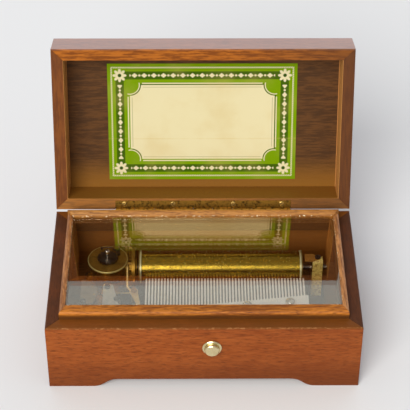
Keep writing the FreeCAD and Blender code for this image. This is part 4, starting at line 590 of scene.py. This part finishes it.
PIN_DENSITY = 260000.0
PIN_PITCH = 0.000905
PIN_MARGIN = 0.0012
PIN_RADIUS = 0.00015
PIN_RISE = (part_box("cylinder_pins")[1].z - CYLINDER_MIDDLE.z) - CYLINDER_RADIUS
PIN_SIDES = 5
PIN_TAPER = 0.7
pin_tree, given = new_tree("cylinder_pinning", (
    ("Density", "Float"), ("Pitch", "Float"), ("Pin radius", "Float"), ("Pin rise", "Float"),
    ("Seed", "Int"), ("Finish", "Material")))
scatter = pin_tree.node("GeometryNodeDistributePointsOnFaces", None,
                        {"Mesh": given["Geometry"], "Density": given["Density"], "Seed": given["Seed"]})
outward = Wire(pin_tree, scatter.socket.node.outputs["Rotation"])
spot = pin_tree.node("GeometryNodeInputPosition")
along = pin_tree.node("ShaderNodeSeparateXYZ", None, {0: spot}, 0)
nearest = along.maths("SNAP", along, given["Pitch"])
moved = pin_tree.node("ShaderNodeCombineXYZ", None, {0: nearest - along})
lined = pin_tree.node("GeometryNodeSetPosition", None, {"Geometry": scatter, "Offset": moved})
pin = pin_tree.node("GeometryNodeMeshCone", None,
                    {"Vertices": PIN_SIDES, "Radius Bottom": given["Pin radius"],
                     "Radius Top": given["Pin radius"] * PIN_TAPER, "Depth": given["Pin rise"]})
pins = pin_tree.node("GeometryNodeInstanceOnPoints", None,
                     {"Points": lined, "Instance": pin, "Rotation": outward})
end_tree(pin_tree, pins, given["Finish"])

shape = bmesh.new()
bmesh.ops.create_cone(shape, segments=CYLINDER_FACETS, radius1=CYLINDER_RADIUS, radius2=CYLINDER_RADIUS,
                      depth=CYLINDER_LENGTH - 2 * PIN_MARGIN, cap_ends=False)
shape.transform(Matrix.Translation(CYLINDER_MIDDLE) @ Matrix.Rotation(math.pi / 2, 4, "Y"))
mesh = bpy.data.meshes.new("pinned_surface")
shape.to_mesh(mesh)
shape.free()
draft = bpy.data.objects.new("pinned_surface", mesh)
bpy.context.scene.collection.objects.link(draft)
pin_steel = metal("pin_steel", tint(190, 170, 120), tint(120, 100, 60), 0.25)
fill(draft, pin_tree, {"Density": PIN_DENSITY, "Pitch": PIN_PITCH, "Pin radius": PIN_RADIUS,
                       "Pin rise": PIN_RISE, "Seed": 11, "Finish": pin_steel.material})
settled(draft, "cylinder_pins_finished", pin_steel, "cylinder", "pin_steel", "cylinder_pins")

# Right pillar and change finger
# A sand-cast brass pillar holds the arbor's right end, and a copper-coloured strip under its screw
# turns the tune cam.

PILLAR_LOW, PILLAR_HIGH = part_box("right_pillar")
PILLAR_EASE = 0.00025
STRIP_EASE = 0.00008
PILLAR_SCREW = Screw(radius=0.00175, rise=0.0012, crown=0.0003, shank=0.0009, length=0.002)
copper = metal("copper_strip", tint(206, 142, 62), tint(140, 90, 36), 0.34, bare=0.4)
sand_cast = metal("sand_cast_brass", tint(255, 226, 126), tint(164, 98, 18), 0.42, stain_share=1.0,
                  cloud=900, bare=0.0)
eased("right_pillar", sand_cast, "case", "cast_brass", PILLAR_EASE)
eased("change_finger", copper, "case", "copper", STRIP_EASE)
pillar_middle = (PILLAR_LOW + PILLAR_HIGH) / 2
screw_row("pillar_screw", [(pillar_middle.x, pillar_middle.y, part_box("change_finger")[1].z)],
          PILLAR_SCREW, dark_steel, "case", "dark_steel", seed=5)

# Governor
# A small train of wheels drives an endless screw with a fan that brakes the movement, in a cast
# frame under a bright cock and a duller bridge.

GOVERNOR_EASE = 0.00006
cast_brass = metal("cast_brass", tint(224, 180, 104), tint(160, 108, 40), 0.42, bare=0.5)
plate_metal = metal("nickelled_plate", tint(222, 216, 200), tint(150, 144, 128), 0.3, bare=0.5)
dull_plate = metal("dull_plate", tint(168, 142, 104), tint(104, 82, 54), 0.4, bare=0.5)
for node, finish, body, slot in (
        ("governor_frame", cast_brass, "case", "cast_brass"),
        ("governor_cock", plate_metal, "case", "plate_metal"),
        ("train_bridge", dull_plate, "case", "plate_metal"),
        ("first_wheel", brass, "first_arbor", "brass"),
        ("second_wheel", brass, "second_arbor", "brass"),
        ("endless_screw", bright_steel, "fan_shaft", "bright_steel"),
        ("fan", plate_metal, "fan_shaft", "plate_metal")):
    eased(node, finish, body, slot, GOVERNOR_EASE)
COCK_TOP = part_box("governor_cock")[1].z
TRAIN_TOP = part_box("train_bridge")[1].z
GOVERNOR_SCREW = Screw(radius=0.00175, rise=0.0012, crown=0.0003, shank=0.0009, length=0.0018)
GOVERNOR_SCREW_PLACES = [(-0.05058, -0.01390, COCK_TOP), (-0.05638, -0.00350, COCK_TOP),
                         (-0.07018, -0.01390, TRAIN_TOP)]
screw_row("governor_screws", GOVERNOR_SCREW_PLACES, GOVERNOR_SCREW, dark_steel, "case", "dark_steel", seed=9)

# Comb
# A ground steel comb with its prongs cut to a slanting line, small weights soldered under the bass
# prongs, and four large slotted screws.

COMB_LOW, COMB_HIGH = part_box("comb")
COMB_TOP = COMB_HIGH.z
COMB_EASE = 0.00005
PRONGS = 52
PRONG_WIDTH = 0.0011
COMB_RIGHT_MARGIN = 0.0022
SHORTEST_PRONG = 0.0143
ROOT_SLOPE = 0.132
ROOT_BLUR = 0.0006
FIRST_PRONG = COMB_LOW.x + PRONG_WIDTH
PRONG_PITCH = (COMB_HIGH.x - COMB_RIGHT_MARGIN - FIRST_PRONG) / (PRONGS - 1)
PRONG_GAP_SHADE_TINT = tint(104, 86, 60)
GAP_SHADE_STARTS, GAP_SHADE_FULL = 0.00014, 0.00006
GAP_SHADE_SHARE = 0.85
COMB_BRUSHING = (2400, 60, 60)
comb_steel = metal("ground_steel", tint(255, 253, 246), tint(236, 226, 206), 0.34,
                   brushed=COMB_BRUSHING, bare=0.0)
lead = metal("lead", tint(112, 112, 114), tint(84, 84, 86), 0.55)
across, away = comb_steel.parts(comb_steel.place(COMB_HIGH[:]), 2)
from_first = across + (COMB_HIGH.x - FIRST_PRONG)
from_middle = from_first.maths("PINGPONG", from_first, PRONG_PITCH / 2)
# Painted shade: the edges of each free prong are darkened so that the gaps between the prongs look deep and
# dark.
gap_shade = comb_steel.step(from_middle, PRONG_WIDTH / 2 - GAP_SHADE_STARTS, PRONG_WIDTH / 2 - GAP_SHADE_FULL)
free = comb_steel.step(away + SHORTEST_PRONG - across * ROOT_SLOPE, 0.0, ROOT_BLUR)
comb_steel.stain(gap_shade * free * GAP_SHADE_SHARE, PRONG_GAP_SHADE_TINT)
eased("comb", comb_steel, "case", "comb_steel", COMB_EASE)
eased("tuning_leads", lead, "case", "lead", COMB_EASE)


def islands(node):
    """Lowest and highest corner of each separate solid of a CAD node, left to right."""
    shape = bmesh.new()
    shape.from_mesh(nodes[node].data)
    bmesh.ops.remove_doubles(shape, verts=shape.verts, dist=MERGE_REACH)
    left, found = set(shape.verts), []
    while left:
        group, edge = set(), [left.pop()]
        while edge:
            vert = edge.pop()
            group.add(vert)
            for link in vert.link_edges:
                other = link.other_vert(vert)
                if other in left:
                    left.discard(other)
                    edge.append(other)
        places = [vert.co for vert in group]
        found.append((Vector(min(place[axis] for place in places) for axis in range(3)),
                      Vector(max(place[axis] for place in places) for axis in range(3))))
    shape.free()
    return sorted(found, key=lambda box: box[0].x)


comb_screw_boxes = islands("comb_screws")
screw_low, screw_high = comb_screw_boxes[0]
COMB_SCREW = Screw(radius=(screw_high.x - screw_low.x) / 2, rise=screw_high.z - COMB_TOP, crown=0.0014,
                   shank=0.0016, length=COMB_TOP - screw_low.z)
screw_row("comb_screws_finished",
          [((low.x + high.x) / 2, (low.y + high.y) / 2, COMB_TOP) for low, high in comb_screw_boxes],
          COMB_SCREW, bright_steel, "case", "bright_steel", seed=4, stands_for=("comb_screws",))

# Stop lever and button
# Pushing the dished metal button in the front wall swings a brass lever, whose wire finger then
# leaves the wheel and the fan free. The button slides in a turned bush.

button_metal = metal("worn_nickel", tint(226, 212, 166), tint(180, 158, 106), 0.26)
pale_brass = metal("pale_brass", tint(246, 208, 128), tint(186, 140, 66), 0.34, bare=0.4)
for node, finish, body, slot in (
        ("stop_lever", pale_brass, "lever", "brass"),
        ("lever_post", brass, "case", "brass"),
        ("button", button_metal, "push_button", "button_metal"),
        ("button_bush", button_metal, "case", "button_metal"),
        ("button_spring", blued_steel, "case", "spring_steel")):
    eased(node, finish, body, slot, TURNED_EASE)

# Glass and its frame
# A clear pane lies on a ledge in four mitred members of paler orange-brown wood, of which the back
# one rises to the hinge. Painted shade darkens the members below their tops, and pale flecks along the
# pane's edge are painted glints.

FRAME_PALE = tint(196, 118, 38)
FRAME_DEEP = tint(132, 70, 22)
BACK_PALE = tint(174, 116, 48)
BACK_DEEP = tint(132, 80, 28)
SIDE_PALE = tint(194, 132, 76)
SIDE_DEEP = tint(134, 82, 42)
FRAME_SHADE_TINT = tint(80, 46, 18)
GLINT_TINT = tint(232, 214, 176)
GLINT_WAVES = (700, 700, 700)
GLINTS_START, GLINTS_FULL = 0.55, 0.64
GLINT_SHARE = 0.9
FRAME_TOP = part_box("frame_front")[1].z
FRAME_EASE = 0.0002
PANE_LOW, PANE_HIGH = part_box("glass_pane")
PANE_EASE = 0.0002
LEDGE_ROOM = 0.0002
BACK_RISE = 0.0038
FRAME_SHADE_STARTS, FRAME_SHADE_FULL = 0.0012, 0.0036
FRAME_SHADE_SHARE = 0.9
GLINT_BAND_REACH, GLINT_BAND_FULL = 0.0005, 0.0002
GLINT_BAND_STARTS_BELOW, GLINT_BAND_FULL_BELOW = 0.0016, 0.0004


def risen(place):
    """How far a place on the back member's top stands above the other members."""
    share = (place.y - PANE_HIGH.y) / (CASE_INNER_Y - PANE_HIGH.y)
    return BACK_RISE * share if share > 0 and place.z > PANE_LOW.z + LEDGE_ROOM else 0


for side, turn, pale, deep, lift in (
        ("front", GRAIN_ALONG_X, FRAME_PALE, FRAME_DEEP, None),
        ("back", GRAIN_ALONG_X, BACK_PALE, BACK_DEEP, risen),
        ("left", GRAIN_ALONG_Y, SIDE_PALE, SIDE_DEEP, None),
        ("right", GRAIN_ALONG_Y, SIDE_PALE, SIDE_DEEP, None)):
    member = wood("frame_member_" + side, pale, deep, turn, gloss=0.34, specular=0.2, contrast=0.12)
    own = member.place()
    across, away, height = member.parts(own)
    # Painted shade: the members are darkened below their tops, on their outer faces and down to the ledge.
    painted_shade_low = member.step(height, FRAME_TOP - FRAME_SHADE_STARTS, FRAME_TOP - FRAME_SHADE_FULL)
    member.stain(painted_shade_low * FRAME_SHADE_SHARE, FRAME_SHADE_TINT)
    # Painted highlight: pale flecks along the pane's edge stand for glints of light on the glass edge.
    glints_by_pane = member.step(height, FRAME_TOP - GLINT_BAND_STARTS_BELOW, FRAME_TOP - GLINT_BAND_FULL_BELOW)
    for reach, low, high in ((across, PANE_LOW.x, PANE_HIGH.x), (away, PANE_LOW.y, PANE_HIGH.y)):
        glints_by_pane *= member.step(reach, low - GLINT_BAND_REACH, low - GLINT_BAND_FULL)
        glints_by_pane *= member.step(reach, high + GLINT_BAND_REACH, high + GLINT_BAND_FULL)
    glint_noise = member.noise(own, GLINT_WAVES, detail=3.0, roughness=0.7)
    member.stain(glints_by_pane * member.step(glint_noise, GLINTS_START, GLINTS_FULL) * GLINT_SHARE, GLINT_TINT)
    eased("frame_" + side, member, "case", "frame_wood", FRAME_EASE, lift=lift)

PANE_MIRROR = 0.22
EDGE_MIRROR = 0.8
PANE_CLEAR = (0.99, 0.98, 0.96, 1)
PANE_SHEEN = (1.0, 0.84, 0.60, 1)
PANE_ROUGHNESS = 0.015
pane = Finish("clear_glass")
facing = pane.node("ShaderNodeLayerWeight", None, {"Blend": 0.5}, "Facing")
grazing = facing * facing * facing * facing * facing
clear = pane.node("ShaderNodeBsdfTransparent", None, {"Color": PANE_CLEAR})
sheen = pane.node("ShaderNodeBsdfGlossy", None, {"Color": PANE_SHEEN, "Roughness": PANE_ROUGHNESS})
both = pane.node("ShaderNodeMixShader", None, {0: PANE_MIRROR + grazing * EDGE_MIRROR, 1: clear, 2: sheen})
pane.tree.links.new(both.socket, pane.tree.nodes["Material Output"].inputs["Surface"])
pane.tree.nodes.remove(pane.surface)
eased("glass_pane", pane, "case", "pane", PANE_EASE)

# Hinge
# A long butt hinge of thin brass, tarnished in patches, sunk into both back walls and held by four
# small slotted screws in each leaf, their countersunk heads flush with it.

lid_hinge = next(joint for joint in frame["record"]["behaviour"]["joints"] if joint["name"] == "lid_hinge")
LID_ANGLE = math.radians(lid_hinge["range_deg"][1])
HINGE_AXIS = Vector(lid_hinge["pos_m"])
HINGE_SCREW = Screw(radius=0.0015, rise=0.00045, crown=0.00015, shank=0.0006, length=0.0003)
HINGE_SCREW_PLACES = (-0.0477, -0.0182, 0.0182, 0.0477)
HINGE_SCREW_REACH = 0.004
LEAF_FACE = 0.00005
LEAF_EASE = 0.00006
HEAD_SINK = 0.00002
SINK_ROOM = 0.00008
PIN_EASE = 0.00008
hinge_brass = metal("old_brass", tint(192, 146, 60), tint(82, 59, 26), 0.40, stain_share=0.95, cloud=520)
hinge_screw_brass = metal("rubbed_brass", tint(216, 176, 94), tint(58, 42, 18), 0.34, stain_share=1.0,
                          cloud=1300, bare=0.8)


def leaf_with_screws(side, lay, seed):
    """A hinge leaf with four countersunk screws, their heads flush with its face."""
    sink_radius = HINGE_SCREW.radius + SINK_ROOM
    shape = bmesh.new()
    for x in HINGE_SCREW_PLACES:
        bmesh.ops.create_cone(shape, segments=SCREW_FACETS, cap_ends=True, radius1=sink_radius,
                              radius2=sink_radius, depth=2 * HINGE_SCREW.rise,
                              matrix=Matrix.Translation((x, HINGE_SCREW_REACH, -LEAF_FACE)))
    shape.transform(lay)
    mesh = bpy.data.meshes.new(side + "_hinge_drill")
    shape.to_mesh(mesh)
    shape.free()
    drill = bpy.data.objects.new(side + "_hinge_drill", mesh)
    bpy.context.scene.collection.objects.link(drill)
    eased(side + "_hinge_leaf", hinge_brass, side, "hinge_brass", LEAF_EASE, drill)
    bpy.data.objects.remove(drill)
    head_underside = HEAD_SINK - LEAF_FACE - HINGE_SCREW.rise
    screw_row(side + "_hinge_screws", [(x, HINGE_SCREW_REACH, head_underside) for x in HINGE_SCREW_PLACES],
              HINGE_SCREW, hinge_screw_brass, side, "hinge_brass", seed, lay=lay)


opened = Matrix.Translation(HINGE_AXIS) @ Matrix.Rotation(-LID_ANGLE, 4, "X")
leaf_with_screws("case", Matrix.Translation(HINGE_AXIS) @ Matrix.Rotation(math.pi, 4, "Z"), 3)
leaf_with_screws("lid", opened @ turned_over, 2)
eased("hinge_pin", bright_steel, "case", "bright_steel", PIN_EASE)

# Lid
# Four mitred walls round a thin panel. The outside matches the case, the rim is rubbed pale along
# its grain, and the inside is stained dark.

LID_TURN = (-LID_ANGLE, 0, 0)
LID_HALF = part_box("lid_panel")[1].x
LID_WALL = CASE_RIGHT - LID_HALF
LID_SETBACK = HINGE_AXIS.y - CASE_BACK
LID_RIM = HINGE_AXIS.z - CASE_TOP
LID_OUTER = CASE_FRONT - CASE_BACK - LID_SETBACK
LID_NEAR = -LID_SETBACK - LID_WALL
LID_FAR = LID_OUTER + LID_WALL
LID_DEPTH = 0.0190
LID_EASE = 0.0002
RIM_PALE = tint(170, 96, 26)
RIM_DEEP = tint(120, 62, 14)
SIDE_RIM_TINT = tint(90, 52, 30)
RIGHT_RIM_SHADE_TINT = tint(78, 48, 28)
HINGE_RIM_TINT = tint(150, 110, 62)
LINING_PALE = tint(94, 60, 29)
LINING_DEEP = tint(72, 46, 23)
LINING_FOOT_TINT = tint(134, 88, 30)
SIDE_LINING_TINT = tint(194, 136, 74)
LINING_WAVES = (90, 760, 760)
LINING_GRAIN_STARTS, LINING_GRAIN_FULL = 0.38, 0.62
FOOT_LINING_STARTS, FOOT_LINING_FULL = -0.030, -0.008
SIDE_LINING_STARTS, SIDE_LINING_FULL = 0.0006, 0.0002
WALL_STARTS, WALL_FULL = 0.0003, 0.0001
RIM_STARTS, RIM_FULL = 0.0008, 0.0003
PANEL_STARTS, PANEL_FULL = 0.0015, 0.0010
POLISH_STARTS, POLISH_FULL = 0.0012, 0.0004
RIGHT_RIM_SHADE_FULL = 0.09
SIDE_RIM_SHARE, HINGE_RIM_SHARE, RIGHT_RIM_SHADE_SHARE = 0.7, 0.5, 0.6
for node, along_wall in (("lid_front", 0), ("lid_back", 0), ("lid_panel", 0),
                         ("lid_left", math.pi / 2), ("lid_right", math.pi / 2)):
    grain_turn = (Matrix.Rotation(-LID_ANGLE, 3, "X") @ Matrix.Rotation(along_wall, 3, "Z")).to_euler()
    board = wood("board_of_" + node, CASE_PALE, CASE_DEEP, grain_turn, HINGE_AXIS)
    across, away, down = board.parts(board.place(HINGE_AXIS, LID_TURN))
    along_grain = board.place(HINGE_AXIS, grain_turn)
    grain = board.noise(along_grain, LINING_WAVES, detail=3.0, roughness=0.7)
    grain = board.step(grain, LINING_GRAIN_STARTS, LINING_GRAIN_FULL)
    rim = board.mixed(grain, RIM_PALE, RIM_DEEP)
    if along_wall:
        rim = board.mixed(SIDE_RIM_SHARE, rim, SIDE_RIM_TINT)
    if node == "lid_back":
        rim = board.mixed(HINGE_RIM_SHARE, rim, HINGE_RIM_TINT)
    # Painted shade: the rim darkens towards the right, away from the light.
    shade_to_right = board.step(across, 0.0, RIGHT_RIM_SHADE_FULL)
    rim = board.mixed(shade_to_right * RIGHT_RIM_SHADE_SHARE, rim, RIGHT_RIM_SHADE_TINT)
    lining = board.mixed(grain, LINING_PALE, LINING_DEEP)
    by_foot = board.step(away, FOOT_LINING_STARTS, FOOT_LINING_FULL)
    lining = board.mixed(by_foot, lining, LINING_FOOT_TINT)
    by_side = board.step(abs(across), LID_HALF - SIDE_LINING_STARTS, LID_HALF - SIDE_LINING_FULL)
    lining = board.mixed(by_side, lining, SIDE_LINING_TINT)
    polish = board.step(away, LID_OUTER + POLISH_STARTS, LID_OUTER + POLISH_FULL)
    board.give({"Coat Weight": polish, "Coat Roughness": 0.3})
    board.stain(board.step(down, LID_RIM + RIM_STARTS, LID_RIM + RIM_FULL), rim)
    inside = (board.step(abs(across), LID_HALF + WALL_STARTS, LID_HALF + WALL_FULL)
              * board.step(away, LID_NEAR + WALL_STARTS, LID_NEAR + WALL_FULL)
              * board.step(away, LID_FAR - WALL_STARTS, LID_FAR - WALL_FULL)
              * board.step(down, LID_DEPTH + PANEL_STARTS, LID_DEPTH + PANEL_FULL))
    board.stain(inside, lining)
    eased(node, board, "lid", "lid_lining" if node == "lid_panel" else "lid_wood", LID_EASE)

# Card in the lid
# A printed paper card: a cream field with hollowed corners on leaf green, inside a twisted cord,
# a chain of lozenges and a rosette in each corner. Age has yellowed it and left one soft fold.

CARD_GREEN = tint(112, 144, 0)
CARD_DARK_GREEN = tint(46, 74, 10)
CARD_CREAM = tint(216, 204, 160)
CARD_STAIN = tint(196, 166, 96)
CARD_MIDDLE = Vector((-0.0004, -0.04995))
CARD_EASE = 0.00005
AGEING_WAVES = (50, 50, 50)
YELLOW_STARTS, YELLOW_FULL = 0.42, 0.8
YELLOW_SHARE = 0.3
FIBRE_WAVES = (3000, 3000, 3000)
FIBRE_DEPTH = 0.00003
FOLD_ABOVE_MIDDLE = 0.0105
FOLD_REACH = 0.0007
FOLD_STARTS, FOLD_FULL = 0.3, 0.6
FOLD_SHARE = 0.25
BLUR = 0.00012
PETAL_DEPTH = 0.45
LOZENGE_BLUR = 0.08
DOT_OUTSIDE, DOT_INSIDE = 0.55, 0.35
card = Finish("printed_card")
own = card.place(HINGE_AXIS, LID_TURN)
across = card.part(own, 0) - CARD_MIDDLE.x
away = card.part(own, 1) - CARD_MIDDLE.y


def field(half_width, half_height, shift=0.0):
    """1 inside an upright rectangle about the card's middle."""
    return (card.step(abs(across - shift), half_width + BLUR, half_width - BLUR)
            * card.step(abs(away + shift), half_height + BLUR, half_height - BLUR))


def reach_from(x, y):
    """Distance from a point, mirrored into the four quarters of the card."""
    sideways, endways = abs(across) - x, abs(away) - y
    return sideways.maths("SQRT", sideways * sideways + endways * endways), sideways, endways


def disc(x, y, radius):
    return card.step(reach_from(x, y)[0], radius + BLUR, radius - BLUR)


def rosette(x, y, radius, petals):
    """A flower of so many petals in each corner."""
    distance, sideways, endways = reach_from(x, y)
    turn = sideways.maths("ARCTAN2", endways, sideways)
    lobes = abs(turn.maths("COSINE", turn * (petals / 2)))
    heart = radius * (1 - PETAL_DEPTH)
    return card.step(distance - lobes * (radius * PETAL_DEPTH), heart + BLUR, heart - BLUR)


def either(first, second):
    return first.maths("MAXIMUM", first, second)


def chain(along, aside, pitch, length, width):
    """Lozenges every pitch on a line, and a dot between each two."""
    swing = along.maths("PINGPONG", along, pitch / 2)
    lozenge = card.step(swing * (1 / length) + abs(aside) * (1 / width), 1 + LOZENGE_BLUR, 1 - LOZENGE_BLUR)
    gap = pitch / 2 - swing
    dot = card.step(gap * gap + aside * aside, (width * DOT_OUTSIDE) ** 2, (width * DOT_INSIDE) ** 2)
    return either(lozenge, dot)


CORD_X, CORD_Y = 0.0550, 0.0351
CORD_WIDTH = 0.0009
CORD_TWIST = 0.0007
TWIST_STARTS, TWIST_FULL = 0.00016, 0.00028
BAND_X, BAND_Y = 0.0496, 0.0297
BAND_HALF_WIDTH = 0.0025
CORNER_REACH = 0.0060
LINK_PITCH = 0.0058
LINK_LENGTH = 0.0019
LINK_WIDTH = 0.0015
CHAIN_ENDS, CHAIN_FULL = 0.0030, 0.0028
FIELD_X, FIELD_Y = 0.0436, 0.0237
HOLLOW_RADIUS = 0.0068
FLOWER_RADIUS = 0.0042
FLOWER_PETALS = 8
HEART_RADIUS = 0.0011
SHADOW_SHIFT = 0.0009
SHADOW_HOLLOW = 0.0060
LINE_OUTSIDE, LINE_INSIDE = 0.0014, 0.0007
LINE_HOLLOW = 0.0075
CURVE_OUTSIDE, CURVE_INSIDE = 0.0061, 0.0055
FINE_LINE_OUTSIDE, FINE_LINE_INSIDE = -0.0012, -0.0015
FINE_LINE_HOLLOW = 0.0080
BAND_SHARE, SHADOW_SHARE, FINE_LINE_SHARE = 0.85, 0.8, 0.5


def field_grown(reach):
    """1 inside the cream field's rectangle, grown by a reach on each side."""
    return field(FIELD_X + reach, FIELD_Y + reach)


def hollow(radius):
    """1 inside a disc about each corner of the cream field."""
    return disc(FIELD_X, FIELD_Y, radius)


cord_edge = field(CORD_X, CORD_Y) * (1 - field(CORD_X - CORD_WIDTH, CORD_Y - CORD_WIDTH))
twist = (across + away).maths("PINGPONG", across + away, CORD_TWIST)
cord = cord_edge * card.step(twist, TWIST_STARTS, TWIST_FULL)
band = (field(BAND_X + BAND_HALF_WIDTH, BAND_Y + BAND_HALF_WIDTH)
        * (1 - field(BAND_X - BAND_HALF_WIDTH, BAND_Y - BAND_HALF_WIDTH)))
in_corner = (card.step(abs(across), BAND_X - CORNER_REACH, BAND_X - CORNER_REACH + BLUR)
             * card.step(abs(away), BAND_Y - CORNER_REACH, BAND_Y - CORNER_REACH + BLUR))
from_side = abs(across) - BAND_X
from_end = abs(away) - BAND_Y
end_links = (chain(across, from_end, LINK_PITCH, LINK_LENGTH, LINK_WIDTH)
             * card.step(abs(from_end), CHAIN_ENDS, CHAIN_FULL))
side_links = (chain(away, from_side, LINK_PITCH, LINK_LENGTH, LINK_WIDTH)
              * card.step(abs(from_side), CHAIN_ENDS, CHAIN_FULL))
links = either(end_links, side_links) * (1 - in_corner)
cream_field = field_grown(0) * (1 - hollow(HOLLOW_RADIUS))
straight_line = (field_grown(LINE_OUTSIDE) * (1 - field_grown(LINE_INSIDE))
                 * (1 - hollow(LINE_HOLLOW)))
curved_line = hollow(CURVE_OUTSIDE) * (1 - hollow(CURVE_INSIDE)) * field_grown(LINE_OUTSIDE)
shadow = field(FIELD_X, FIELD_Y, SHADOW_SHIFT) * (1 - hollow(SHADOW_HOLLOW))
fine_line = (field_grown(FINE_LINE_OUTSIDE) * (1 - field_grown(FINE_LINE_INSIDE))
             * (1 - hollow(FINE_LINE_HOLLOW)))
flowers = rosette(BAND_X, BAND_Y, FLOWER_RADIUS, FLOWER_PETALS)
hearts = disc(BAND_X, BAND_Y, HEART_RADIUS)

colour = card.mixed(either(band * BAND_SHARE, shadow * SHADOW_SHARE), CARD_GREEN, CARD_DARK_GREEN)
for motif in (cord, links, straight_line, curved_line, cream_field, flowers):
    colour = card.mixed(motif, colour, CARD_CREAM)
colour = card.mixed(either(hearts, fine_line * FINE_LINE_SHARE), colour, CARD_DARK_GREEN)
ageing = card.noise(own, AGEING_WAVES, detail=4.0)
yellowed = card.step(ageing, YELLOW_STARTS, YELLOW_FULL)
colour = card.mixed(yellowed * YELLOW_SHARE, colour, CARD_STAIN)
fold = (card.step(abs(away - FOLD_ABOVE_MIDDLE), FOLD_REACH, 0.0)
        * card.step(ageing, FOLD_STARTS, FOLD_FULL))
colour = card.mixed(fold * FOLD_SHARE, colour, CARD_STAIN)
fibres = card.noise(own, FIBRE_WAVES, detail=1.0)
card.give({"Base Color": colour, "Roughness": 0.62 + fibres * 0.1, "Specular IOR Level": 0.05})
card.relief(fibres * 0.3 + fold, FIBRE_DEPTH)
eased("label", card, "lid", "card", CARD_EASE)

low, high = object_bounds()
